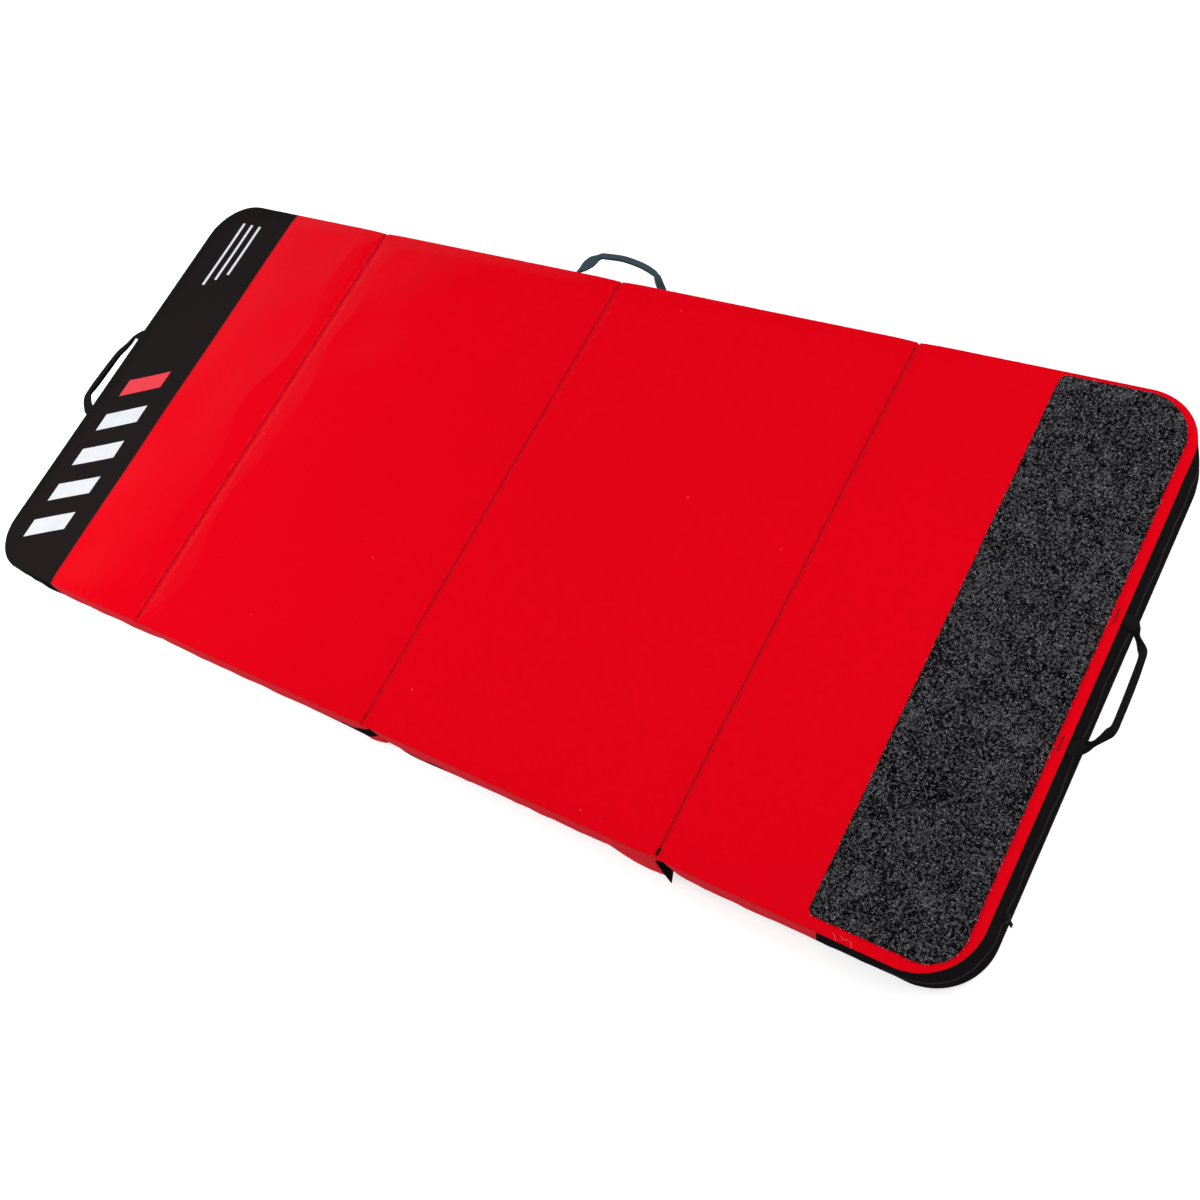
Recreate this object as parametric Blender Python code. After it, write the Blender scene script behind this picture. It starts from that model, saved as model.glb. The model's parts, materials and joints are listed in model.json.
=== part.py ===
"""Folding crash landing mat, lying open: four foam panels in one sewn cover.

Frame: the origin is on the ground under the middle fold, +X runs along the mat to the carpet
end, +Y points to the long side with the middle handle, and +Z is up. All sizes are in metres.

Panels are numbered 1 to 4 from the end with the black band to the end with the carpet. Each
holds three foam layers in its own sleeve. The folds hinge at the top, so the gaps between
panels open downwards, and every fold lifts a panel up and over its neighbour.
"""

import math

import bmesh
import bpy
from mathutils import Matrix, Vector

# Driving dimensions
WIDTH = 1.00
HEIGHT = 0.12
OUTER_PANEL = 0.50
INNER_PANEL = 0.63
CORNER_RADIUS = 0.10
CORNER_SEGMENTS = 8

# Sewn cover
FABRIC = 0.0012
GAP = 0.0003
TOP_FOLD_GAP = 0.004
BOTTOM_FOLD_GAP = 0.020
HINGE_RISE = 0.0005
SEAM_RADIUS = 0.001
SEAM_SIDES = 12

# Foam layers, from the ground up; the soft core fills what the firm layers leave
BASE_FOAM = 0.012
TOP_FOAM = 0.022

# Black parts of the cover
BAND_WIDTH = 0.223
END_WALL_TOP_X = 0.911
END_WALL_SLANT = 0.28

# Carpet on panel 4
CARPET_THICKNESS = 0.004
CARPET_INNER_X = 0.888
CARPET_END_BORDER = 0.019
CARPET_NEAR_BORDER = 0.021
CARPET_FAR_BORDER = 0.010
CARPET_INNER_RADIUS = 0.012
CARPET_END_RADIUS = 0.060

# Webbing handles
HANDLE_SPAN = 0.215
HANDLE_REACH = 0.046
HANDLE_DROOP = math.radians(12)
WEBBING_WIDTH = 0.025
WEBBING = 0.002
GRIP_WIDTH = 0.012
GRIP_THICKNESS = 0.006
SEAM_BELOW_TOP = 0.005
# Stations from a foot to the grip: share of the reach, distance in from the foot, width and
# thickness, as the flat webbing is folded over on itself to make the grip
HANDLE_PROFILE = (
    (0.00, 0.000, WEBBING_WIDTH, WEBBING),
    (0.24, 0.000, WEBBING_WIDTH, WEBBING),
    (0.62, 0.014, 0.86 * WEBBING_WIDTH, 1.3 * WEBBING),
    (0.90, 0.038, 1.15 * GRIP_WIDTH, 0.8 * GRIP_THICKNESS),
    (0.98, 0.060, GRIP_WIDTH, GRIP_THICKNESS),
    (1.00, 0.085, GRIP_WIDTH, GRIP_THICKNESS),
)
HANDLE_STANDOFF = 0.0018

# Zips round the two ends
ZIP_HEIGHT = 0.056
ZIP_TAPE_WIDTH = 0.014
ZIP_TAPE = 0.0012
ZIP_START_X = 1.00
SLIDER_START_Y = -0.36
SLIDER_LENGTH = 0.014
SLIDER_WIDTH = 0.010
SLIDER_THICKNESS = 0.004
PULL_LENGTH = 0.030
PULL_WIDTH = 0.006
PULL_THICKNESS = 0.002

# Closing straps stowed in the folds: one is folded up in a bundle, one hangs out
STRAP_BUNDLE = 0.011
STRAP_BUNDLE_LENGTH = 0.080
STRAP_BUNDLE_LIFT = 0.002
STRAP_TAIL_TOP = 0.106
STRAP_TAIL_BOTTOM = 0.012
STRAP_TAIL_IN = 0.010
STRAP_TAIL_OUT = 0.007

FOLD_X = (-INNER_PANEL, 0.0, INNER_PANEL)
END_X = INNER_PANEL + OUTER_PANEL
BAND_X = -END_X + BAND_WIDTH
PANEL_SPANS = {
    1: (-END_X, FOLD_X[0]),
    2: (FOLD_X[0], FOLD_X[1]),
    3: (FOLD_X[1], FOLD_X[2]),
    4: (FOLD_X[2], END_X),
}
HINGE_Z = HEIGHT + HINGE_RISE
HANDLE_Z = HEIGHT - SEAM_BELOW_TOP

COLOURS = {
    "red_nylon": ((0.80, 0.004, 0.010), 0.55),
    "black_nylon": ((0.018, 0.016, 0.016), 0.60),
    "black_webbing": ((0.022, 0.026, 0.028), 0.55),
    "charcoal_carpet": ((0.060, 0.062, 0.068), 0.95),
    "closed_cell_foam": ((0.30, 0.31, 0.33), 0.80),
    "open_cell_foam": ((0.85, 0.80, 0.62), 0.90),
    "black_plastic": ((0.02, 0.02, 0.02), 0.40),
    "red_thread": ((0.42, 0.002, 0.006), 0.70),
}


def clear_scene():
    for obj in list(bpy.data.objects):
        bpy.data.objects.remove(obj, do_unlink=True)


def new_collection(name):
    collection = bpy.data.collections.new(name)
    bpy.context.scene.collection.children.link(collection)
    return collection


def make_materials():
    made = {}
    for name, (colour, roughness) in COLOURS.items():
        material = bpy.data.materials.new(name)
        material.use_nodes = True
        shader = material.node_tree.nodes["Principled BSDF"]
        shader.inputs["Base Color"].default_value = (*colour, 1.0)
        shader.inputs["Roughness"].default_value = roughness
        shader.inputs["Metallic"].default_value = 0.0
        material.diffuse_color = (*colour, 1.0)
        made[name] = material
    return made


def new_object(name, bm, material, collection):
    """Turns a bmesh into a named object with its faces pointing out."""
    bmesh.ops.recalc_face_normals(bm, faces=bm.faces)
    mesh = bpy.data.meshes.new(name)
    bm.to_mesh(mesh)
    bm.free()
    if material is not None:
        mesh.materials.append(MATERIALS[material])
    obj = bpy.data.objects.new(name, mesh)
    collection.objects.link(obj)
    return obj


def face_x(x, side, inset, z, slant):
    """Where a block's left (side 1) or right (side -1) face stands at height z."""
    below_top = 1 - z / HEIGHT
    if x in FOLD_X:
        spread = (BOTTOM_FOLD_GAP - TOP_FOLD_GAP) * below_top
        setback = (TOP_FOLD_GAP + spread) / 2 + inset
    elif abs(x) == END_X:
        setback = inset
    else:
        setback = GAP / 2
        x -= slant * (HEIGHT - z)
    return x + side * setback


def block(left, right, inset, z_low, z_high, slant=0.0):
    """A slab of the mat: rounded corners at an end of the mat, leaning faces at a fold."""
    bm = bmesh.new()
    bmesh.ops.create_cube(bm, size=1.0)
    half_width = WIDTH / 2 - inset
    for vertex in bm.verts:
        vertex.co.x = left + inset if vertex.co.x < 0 else right - inset
        vertex.co.y = math.copysign(half_width, vertex.co.y)
        vertex.co.z = z_low if vertex.co.z < 0 else z_high
    round_end_corners(bm, END_X - inset, CORNER_RADIUS - inset)
    for vertex in bm.verts:
        if abs(vertex.co.x - left - inset) < GAP / 10 and abs(left) != END_X:
            vertex.co.x = face_x(left, 1, inset, vertex.co.z, slant)
        elif abs(vertex.co.x - right + inset) < GAP / 10 and abs(right) != END_X:
            vertex.co.x = face_x(right, -1, inset, vertex.co.z, slant)
    return bm


def round_end_corners(bm, end_x, radius):
    """Rounds the upright edges that stand at an end of the mat."""
    edges = [
        edge
        for edge in bm.edges
        if all(abs(abs(v.co.x) - end_x) < 1e-6 for v in edge.verts)
        and abs(edge.verts[0].co.y - edge.verts[1].co.y) < 1e-6
    ]
    if edges:
        bmesh.ops.bevel(
            bm,
            geom=edges,
            offset=radius,
            offset_type="OFFSET",
            segments=CORNER_SEGMENTS,
            profile=0.5,
            affect="EDGES",
        )


def cut(obj, bm, name):
    """Takes the shape in bm out of obj."""
    cutter = new_object(name, bm, None, CUTTERS)
    cutter.hide_render = True
    cutter.display_type = "WIRE"
    boolean = obj.modifiers.new(name, "BOOLEAN")
    boolean.operation = "DIFFERENCE"
    boolean.object = cutter


def wall(name, left, right, sleeve, material, slant=0.0):
    """The upright fabric of a panel between left and right, hollow where the foam stands."""
    z_low, z_high = FABRIC + GAP, HEIGHT - FABRIC - GAP
    obj = new_object(name, block(left, right, 0.0, z_low, z_high, slant), material, MAT)
    cut(obj, block(*sleeve, FABRIC, z_low - FABRIC, z_high + FABRIC), name + "_inside")
    return obj


def make_foams(panel):
    """Firm base sheet, soft core and firm top sheet, stacked inside the panel's sleeve."""
    low = FABRIC + GAP
    high = HEIGHT - FABRIC - GAP
    core_low = low + BASE_FOAM + GAP
    core_high = high - TOP_FOAM - GAP
    layers = (
        ("foam_base", low, low + BASE_FOAM, "closed_cell_foam"),
        ("foam_core", core_low, core_high, "open_cell_foam"),
        ("foam_top", core_high + GAP, high, "closed_cell_foam"),
    )
    for layer, z_low, z_high, material in layers:
        shape = block(*PANEL_SPANS[panel], FABRIC + GAP, z_low, z_high)
        new_object(f"panel_{panel}_{layer}", shape, material, MAT)


def make_covers():
    """Top sheet, base sheet and side walls of every panel."""
    for panel, span in PANEL_SPANS.items():
        base = block(*span, 0.0, 0.0, FABRIC)
        new_object(f"panel_{panel}_base_cover", base, "black_nylon", MAT)
        top_left = BAND_X if panel == 1 else span[0]
        top = block(top_left, span[1], 0.0, HEIGHT - FABRIC, HEIGHT)
        new_object(f"panel_{panel}_top_cover", top, "red_nylon", MAT)
    band = block(-END_X, BAND_X, 0.0, HEIGHT - FABRIC, HEIGHT)
    new_object("panel_1_end_band", band, "black_nylon", MAT)
    wall("panel_1_side_wall", BAND_X, FOLD_X[0], PANEL_SPANS[1], "red_nylon")
    wall("panel_1_end_wall", -END_X, BAND_X, PANEL_SPANS[1], "black_nylon")
    wall("panel_2_side_wall", *PANEL_SPANS[2], PANEL_SPANS[2], "red_nylon")
    wall("panel_3_side_wall", *PANEL_SPANS[3], PANEL_SPANS[3], "red_nylon")
    split = END_WALL_TOP_X
    wall("panel_4_side_wall", FOLD_X[2], split, PANEL_SPANS[4], "red_nylon", END_WALL_SLANT)
    wall("panel_4_end_wall", split, END_X, PANEL_SPANS[4], "black_nylon", END_WALL_SLANT)


def make_carpet():
    """Pile carpet sewn on top of panel 4, with a red border left round it."""
    high = END_X - CARPET_END_BORDER
    near = -WIDTH / 2 + CARPET_NEAR_BORDER
    far = WIDTH / 2 - CARPET_FAR_BORDER
    bm = bmesh.new()
    bmesh.ops.create_cube(bm, size=1.0)
    for vertex in bm.verts:
        vertex.co.x = CARPET_INNER_X if vertex.co.x < 0 else high
        vertex.co.y = near if vertex.co.y < 0 else far
        vertex.co.z = HEIGHT + GAP + (CARPET_THICKNESS if vertex.co.z > 0 else 0.0)
    uprights = [e for e in bm.edges if abs(e.verts[0].co.z - e.verts[1].co.z) > GAP]
    outer = [e for e in uprights if e.verts[0].co.x > CARPET_INNER_X + GAP]
    inner = [e for e in uprights if e not in outer]
    radii = ((outer, CARPET_END_RADIUS), (inner, CARPET_INNER_RADIUS))
    for edges, radius in radii:
        bmesh.ops.bevel(
            bm,
            geom=edges,
            offset=radius,
            offset_type="OFFSET",
            segments=CORNER_SEGMENTS,
            profile=0.5,
            affect="EDGES",
        )
    new_object("carpet", bm, "charcoal_carpet", MAT)


def make_fold_seams():
    """The sewn line on which each pair of panels turns: a thin round welt on the hinge axis."""
    for number, x in enumerate(FOLD_X, start=1):
        bm = bmesh.new()
        bmesh.ops.create_cone(
            bm,
            cap_ends=True,
            segments=SEAM_SIDES,
            radius1=SEAM_RADIUS,
            radius2=SEAM_RADIUS,
            depth=WIDTH - 2 * SEAM_RADIUS,
        )
        seam = new_object(f"fold_{number}_seam", bm, "red_thread", MAT)
        seam.location = (x, 0.0, HINGE_Z)
        seam.rotation_euler = (math.pi / 2, 0.0, 0.0)


def strap(name, stations, material, parent=None):
    """A webbing strap lofted through stations of (centre, across, width, thickness).

    Each section is a rectangle: its width runs along across, its thickness square to both
    the strap's direction and across.
    """
    bm = bmesh.new()
    rings = []
    for index, (centre, across, width, thickness) in enumerate(stations):
        before = stations[max(index - 1, 0)][0]
        after = stations[min(index + 1, len(stations) - 1)][0]
        direction = (after - before).normalized()
        across = (across - direction * across.dot(direction)).normalized()
        upright = direction.cross(across)
        ring = []
        for a, b in ((-1, -1), (1, -1), (1, 1), (-1, 1)):
            offset = across * (a * width / 2) + upright * (b * thickness / 2)
            ring.append(bm.verts.new(centre + offset))
        rings.append(ring)
    for low, high in zip(rings, rings[1:]):
        for i in range(4):
            j = (i + 1) % 4
            bm.faces.new((low[i], low[j], high[j], high[i]))
    bm.faces.new(rings[0])
    bm.faces.new(rings[-1])
    obj = new_object(name, bm, material, MAT)
    obj.parent = parent
    return obj


def handle_stations():
    """Half an oval loop mirrored: flat feet at the seam, a folded grip in the middle.

    Local frame: the feet start on the X axis at y = +-HANDLE_SPAN / 2 and the loop reaches
    along +X.
    """
    half = HANDLE_SPAN / 2
    profile = [
        (share * HANDLE_REACH, half - inward, width, thickness)
        for share, inward, width, thickness in HANDLE_PROFILE
    ]
    near_side = [(Vector((x, -y, 0.0)), w, t) for x, y, w, t in profile]
    far_side = [(Vector((x, y, 0.0)), w, t) for x, y, w, t in reversed(profile)]
    upright = Vector((0.0, 0.0, 1.0))
    stations = []
    centres = near_side + far_side
    for index, (centre, width, thickness) in enumerate(centres):
        before = centres[max(index - 1, 0)][0]
        after = centres[min(index + 1, len(centres) - 1)][0]
        across = (after - before).cross(upright)
        stations.append((centre, across, width, thickness))
    return stations


def make_handle(name, place, outward_angle):
    """A loop handle whose parent empty stands on the axis that it swings about."""
    pivot = bpy.data.objects.new(name + "_pivot", None)
    MAT.objects.link(pivot)
    pivot.location = place
    turn = Matrix.Rotation(outward_angle, 4, "Z") @ Matrix.Rotation(HANDLE_DROOP, 4, "Y")
    pivot.rotation_euler = turn.to_euler()
    strap(name, handle_stations(), "black_webbing", pivot)


def make_handles():
    reach = END_X + HANDLE_STANDOFF
    make_handle("handle_left", (-reach, 0.0, HANDLE_Z), math.pi)
    make_handle("handle_right", (reach, 0.0, HANDLE_Z), 0.0)
    make_handle("handle_middle", (0.0, WIDTH / 2 + HANDLE_STANDOFF, HANDLE_Z), math.pi / 2)


def make_zip_tape(name, side):
    """A zip that starts on one long side, follows the wall round the end and stops on the other.

    side is -1 for the left end and 1 for the right end.
    """
    centre_x, centre_y = END_X - CORNER_RADIUS, WIDTH / 2 - CORNER_RADIUS
    radius = CORNER_RADIUS + GAP + ZIP_TAPE / 2
    path = [Vector((ZIP_START_X, -WIDTH / 2 - radius + CORNER_RADIUS, 0.0))]
    for sign in (-1, 1):
        for step in range(CORNER_SEGMENTS + 1):
            part = step / CORNER_SEGMENTS
            angle = (part if sign > 0 else 1 - part) * math.pi / 2
            x = centre_x + radius * math.cos(angle)
            y = sign * (centre_y + radius * math.sin(angle))
            path.append(Vector((x, y, 0.0)))
    path.append(Vector((ZIP_START_X, -path[0].y, 0.0)))
    upright = Vector((0.0, 0.0, 1.0))
    stations = []
    for point in path:
        centre = Vector((side * point.x, point.y, ZIP_HEIGHT))
        stations.append((centre, upright, ZIP_TAPE_WIDTH, ZIP_TAPE))
    strap(name, stations, "black_webbing")


def make_slider(end, side):
    """The zip's slider and the cord pull that hangs from it, just outside the zip tape."""
    face = END_X + GAP + ZIP_TAPE + GAP
    bm = bmesh.new()
    bmesh.ops.create_cube(bm, size=1.0)
    sizes = Vector((SLIDER_THICKNESS, SLIDER_LENGTH, SLIDER_WIDTH))
    bmesh.ops.scale(bm, vec=sizes, verts=bm.verts)
    bmesh.ops.bevel(
        bm,
        geom=list(bm.edges),
        offset=SLIDER_THICKNESS / 5,
        offset_type="OFFSET",
        segments=1,
        profile=0.5,
        affect="EDGES",
    )
    slider = new_object(f"zip_slider_{end}", bm, "black_plastic", MAT)
    centre_x = side * (face + SLIDER_THICKNESS / 2)
    slider.location = (centre_x, SLIDER_START_Y, ZIP_HEIGHT)

    top = ZIP_HEIGHT - SLIDER_WIDTH / 2 - GAP
    stations = []
    for drop in (0.0, PULL_LENGTH):
        centre = Vector((centre_x, SLIDER_START_Y, top - drop))
        stations.append((centre, Vector((0.0, 1.0, 0.0)), PULL_WIDTH, PULL_THICKNESS))
    strap(f"zip_pull_{end}", stations, "black_webbing")


def make_strap_tails():
    """Ends of the closing straps at the near side: a bundle low in fold 2, a tail in fold 3."""
    near = -WIDTH / 2
    middle_z = STRAP_BUNDLE_LIFT + WEBBING_WIDTH / 2
    bundle = []
    for y in (near + STRAP_BUNDLE_LENGTH, near):
        centre = Vector((FOLD_X[1], y, middle_z))
        bundle.append((centre, Vector((0.0, 0.0, 1.0)), WEBBING_WIDTH, STRAP_BUNDLE))
    strap("strap_tail_2", bundle, "black_webbing")
    tail = []
    for y, z in ((near + STRAP_TAIL_IN, STRAP_TAIL_TOP), (near - STRAP_TAIL_OUT, STRAP_TAIL_BOTTOM)):
        centre = Vector((FOLD_X[2], y, z))
        tail.append((centre, Vector((0.0, 1.0, 0.0)), WEBBING_WIDTH, WEBBING))
    strap("strap_tail_3", tail, "black_webbing")


clear_scene()
MAT = new_collection("crash_landing_mat")
CUTTERS = new_collection("cutters")
MATERIALS = make_materials()
for panel_number in PANEL_SPANS:
    make_foams(panel_number)
make_covers()
make_carpet()
make_fold_seams()
make_handles()
for end_name, end_side in (("left", -1), ("right", 1)):
    make_zip_tape(f"zip_tape_{end_name}", end_side)
    make_slider(end_name, end_side)
make_strap_tails()
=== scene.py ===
"""Looks of the folding crash landing mat: sewn soft covers, carpet, webbing, zips and stitching.

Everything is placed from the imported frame: +X runs along the mat to the carpet end, +Y points
to the long side with the middle handle and +Z is up. Sizes are in metres.
"""

import json
import math

import bmesh
import bpy
import numpy as np
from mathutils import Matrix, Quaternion, Vector
from mathutils.bvhtree import BVHTree

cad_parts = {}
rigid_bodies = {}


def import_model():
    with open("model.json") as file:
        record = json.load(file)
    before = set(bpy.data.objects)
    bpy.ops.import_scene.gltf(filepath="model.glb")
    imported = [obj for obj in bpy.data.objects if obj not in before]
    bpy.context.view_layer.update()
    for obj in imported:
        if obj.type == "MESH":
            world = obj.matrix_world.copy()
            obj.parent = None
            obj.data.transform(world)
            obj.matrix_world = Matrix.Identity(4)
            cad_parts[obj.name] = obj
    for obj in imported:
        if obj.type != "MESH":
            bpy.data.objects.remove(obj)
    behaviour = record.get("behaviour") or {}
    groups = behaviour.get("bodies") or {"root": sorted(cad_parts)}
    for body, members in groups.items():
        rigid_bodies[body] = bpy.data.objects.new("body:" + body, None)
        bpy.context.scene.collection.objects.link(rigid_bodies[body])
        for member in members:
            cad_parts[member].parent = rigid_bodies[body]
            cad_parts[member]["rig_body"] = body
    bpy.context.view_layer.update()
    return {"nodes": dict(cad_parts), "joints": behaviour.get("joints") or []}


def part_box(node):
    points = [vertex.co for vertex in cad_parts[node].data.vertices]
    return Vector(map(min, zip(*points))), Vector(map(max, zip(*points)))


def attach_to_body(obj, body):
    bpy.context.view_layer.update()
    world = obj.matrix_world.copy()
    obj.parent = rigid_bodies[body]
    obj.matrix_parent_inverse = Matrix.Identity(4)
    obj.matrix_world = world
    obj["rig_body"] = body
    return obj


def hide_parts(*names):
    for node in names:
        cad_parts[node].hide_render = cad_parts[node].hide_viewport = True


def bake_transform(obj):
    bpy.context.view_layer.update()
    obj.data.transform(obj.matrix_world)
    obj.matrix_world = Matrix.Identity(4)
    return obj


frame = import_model()

TAU = 2 * math.pi
UP = Vector((0, 0, 1))
PANELS = (1, 2, 3, 4)
FOLDS = (1, 2, 3)
ENDS = {"left": (-1, 1), "right": (1, 4)}
NEAR, FAR = -1, 1


# ---------------- measures from the frame


def span(node):
    """Where a CAD node starts and ends along the mat."""
    low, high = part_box(node)
    return low.x, high.x


def joint_place(name):
    return next(joint["pos_m"] for joint in frame["joints"] if joint["name"] == name)


def corner_radius(node, side):
    """The plan radius of a CAD node's corners at its left (-1) or right (1) end."""
    low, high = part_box(node)
    end_x = high.x if side > 0 else -low.x
    corners = [v.co for v in frame["nodes"][node].data.vertices]
    return high.y - max(c.y for c in corners if c.x * side > end_x - 1e-5)


TOP_LOW, TOP_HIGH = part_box("panel_2_top_cover")
HEIGHT = TOP_HIGH.z
FABRIC = TOP_HIGH.z - TOP_LOW.z
HALF_WIDTH = TOP_HIGH.y
END_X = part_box("panel_4_top_cover")[1].x
CORNER_RADIUS = corner_radius("panel_1_end_band", -1)
BAND_X = (span("panel_1_end_band")[1] + span("panel_1_top_cover")[0]) / 2
FOLD_X = {n: joint_place(f"fold_{n}")[0] for n in FOLDS}
TOP_SPAN = {n: span(f"panel_{n}_top_cover") for n in PANELS}
TOP_SPAN[1] = (-END_X, TOP_SPAN[1][1])  # the end band is part of panel 1's top
BASE_SPAN = {n: span(f"panel_{n}_base_cover") for n in PANELS}
END_WALL_X = span("panel_4_side_wall")[1]
END_WALL_LEAN = END_WALL_X - span("panel_4_end_wall")[0]
ZIP_LOW, ZIP_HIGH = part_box("zip_tape_right")
ZIP_Z = (ZIP_LOW.z + ZIP_HIGH.z) / 2
CARPET_LOW, CARPET_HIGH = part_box("carpet")
PILE = CARPET_HIGH.z - CARPET_LOW.z


# ---------------- small helpers


def smooth_step(value, start, end):
    share = np.clip((value - start) / (end - start), 0.0, 1.0)
    return share * share * (3 - 2 * share)


def bell(value, width):
    return np.exp(-((value / width) ** 2))


def ripples(points, wavelength, seed, waves=14):
    """Smooth random heights of about -1 to 1 over points, from seeded sine waves."""
    random = np.random.default_rng(seed)
    directions = random.normal(size=(waves, points.shape[1]))
    directions /= np.linalg.norm(directions, axis=1, keepdims=True)
    lengths = wavelength * random.uniform(0.7, 1.6, (waves, 1))
    phases = random.uniform(0, TAU, waves)
    heights = np.sin(points @ (directions * TAU / lengths).T + phases)
    return heights.sum(axis=1) * math.sqrt(2 / waves) / 1.5


def inset_in_box(x, y, half_x, half_y, radius):
    """How far inside a box with rounded corners points are. x and y run from its middle."""
    over_x = np.abs(x) - half_x + radius
    over_y = np.abs(y) - half_y + radius
    outside = np.hypot(np.maximum(over_x, 0), np.maximum(over_y, 0))
    return radius - outside - np.minimum(np.maximum(over_x, over_y), 0)


def points_of(mesh):
    flat = np.empty(len(mesh.vertices) * 3)
    mesh.vertices.foreach_get("co", flat)
    return flat.reshape(-1, 3)


def set_points(mesh, points):
    mesh.vertices.foreach_set("co", points.astype(np.float32).ravel())
    mesh.update()


def mesh_from(name, vertices, faces):
    mesh = bpy.data.meshes.new(name)
    mesh.from_pydata([tuple(v) for v in vertices], [], faces)
    mesh.update()
    return mesh


def mesh_of(name, bm):
    """Ends the bmesh and keeps it as a mesh."""
    mesh = bpy.data.meshes.new(name)
    bm.to_mesh(mesh)
    bm.free()
    return mesh


def new_object(name, mesh, material=None):
    obj = bpy.data.objects.new(name, mesh)
    bpy.context.scene.collection.objects.link(obj)
    if material is not None:
        mesh.materials.clear()
        mesh.materials.append(MATERIALS[material])
    return obj


def closed_object(name, mesh, material, sharp_angle=None):
    """An object with all its faces turned outward, smooth up to the sharp angle if one is given."""
    bm = bmesh.new()
    bm.from_mesh(mesh)
    bmesh.ops.recalc_face_normals(bm, faces=bm.faces)
    bm.to_mesh(mesh)
    bm.free()
    if sharp_angle is not None:
        mesh.shade_smooth()
        mesh.set_sharp_from_angle(angle=math.radians(sharp_angle))
    return new_object(name, mesh, material)


def attach(obj, body, slot, *replaced):
    """Ties a piece to its body and hides the CAD nodes that it stands for. The slot is not used."""
    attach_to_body(obj, body)
    if replaced:
        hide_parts(*replaced)


def grid_faces(rows, columns):
    """Quads over a grid of points that is numbered column by column within each row."""
    index = np.arange(rows * columns).reshape(rows, columns)
    quads = [index[:-1, :-1], index[1:, :-1], index[1:, 1:], index[:-1, 1:]]
    return np.stack(quads, axis=-1).reshape(-1, 4)


def tube_faces(first, size, rings):
    """Quads between rings of points that are numbered on from first, and a cap at each end."""
    faces = []
    for start in range(first, first + (rings - 1) * size, size):
        for k in range(size):
            m = (k + 1) % size
            faces.append((start + k, start + m, start + size + m, start + size + k))
    last = first + (rings - 1) * size
    return faces + [tuple(reversed(range(first, first + size))), tuple(range(last, last + size))]


def apply_modifiers(obj, sharp_angle=50):
    """Makes the modifiers' result the object's own mesh, shaded smooth apart from real edges."""
    graph = bpy.context.evaluated_depsgraph_get()
    mesh = bpy.data.meshes.new_from_object(obj.evaluated_get(graph), depsgraph=graph)
    mesh.name = obj.name
    obj.modifiers.clear()
    obj.data = mesh
    mesh.shade_smooth()
    mesh.set_sharp_from_angle(angle=math.radians(sharp_angle))


def thicken(obj, thickness):
    """Gives an open sheet its thickness, so that it is one closed body."""
    solidify = obj.modifiers.new("thickness", "SOLIDIFY")
    solidify.thickness = thickness
    solidify.offset = -1.0
    apply_modifiers(obj)


# ---------------- materials


MATERIALS = {}


class Nodes:
    """Short way to build a material's node tree. The material is kept in MATERIALS."""

    def __init__(self, name):
        MATERIALS[name] = material = bpy.data.materials.new(name)
        material.use_nodes = True
        self.tree = material.node_tree
        self.place = None

    def add(self, kind, settings=(), **inputs):
        node = self.tree.nodes.new("ShaderNode" + kind)
        for key, value in dict(settings).items():
            setattr(node, key, value)
        for key, value in inputs.items():
            self.put(node, key, value)
        return node

    def put(self, node, key, value):
        socket = node.inputs[int(key[1:]) if key[1:].isdigit() else key.replace("_", " ")]
        if isinstance(value, bpy.types.NodeSocket):
            self.tree.links.new(value, socket)
        else:
            socket.default_value = value

    def math(self, operation, a, b=0.0):
        return self.add("Math", {"operation": operation}, i0=a, i1=b).outputs[0]

    def plus(self, a, b):
        return self.math("ADD", a, b)

    def times(self, a, b):
        return self.math("MULTIPLY", a, b)

    def layered(self, colour, *layers):
        """The colour with each (share, colour) laid over it in turn."""
        for share, over in layers:
            mix = self.add("Mix", {"data_type": "RGBA"}, i0=share, i6=colour, i7=over)
            colour = mix.outputs[2]
        return colour

    def on_object(self):
        """Places the patterns that follow by where they are on the object."""
        self.place = self.add("TexCoord").outputs["Object"]
        return self

    def texture(self, kind, settings=(), **inputs):
        if self.place is not None:
            inputs["Vector"] = self.place
        return self.add("Tex" + kind, settings, **inputs).outputs

    def noise(self, scale, detail=2.0, roughness=0.5):
        return self.texture("Noise", Scale=scale, Detail=detail, Roughness=roughness)["Fac"]

    def wave(self, direction, scale, distortion=0.0):
        settings = {"wave_type": "BANDS", "bands_direction": direction}
        return self.texture("Wave", settings, Scale=scale, Distortion=distortion)["Fac"]

    def sine(self, value, pitch):
        return self.math("SINE", self.times(value, TAU / pitch))

    def ramp(self, value, low, high, top=1.0):
        """0 below low, top above high, straight between."""
        inputs = {"Value": value, "From_Min": low, "From_Max": high, "To_Max": top}
        return self.add("MapRange", {"clamp": True}, **inputs).outputs[0]

    def upward(self):
        """How far the surface faces up: 1 on a level top, -1 underneath."""
        normal = self.add("NewGeometry").outputs["Normal"]
        return self.add("SeparateXYZ", i0=normal).outputs[2]

    def bump(self, height, distance, strength, **under):
        inputs = {"Height": height, "Distance": distance, "Strength": strength}
        return self.add("Bump", **inputs, **under).outputs[0]

    def shade(self, **inputs):
        for key, value in inputs.items():
            self.put(self.tree.nodes["Principled BSDF"], key, value)

    def finish(self, colour, rough, relief, specular):
        self.shade(Base_Color=colour, Roughness=rough, Normal=relief, Specular_IOR_Level=specular)


def rgb(red, green, blue):
    return (red, green, blue, 1.0)


def scaled(colour, factor):
    return rgb(*(min(1.0, channel * factor) for channel in colour[:3]))


YARN_PITCH = 0.0011
WAVES_PER_METRE = 0.314
RIB_PITCH = 0.0022
TWILL_PITCH = 0.0030
TWILL_BAND = 0.0035


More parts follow.
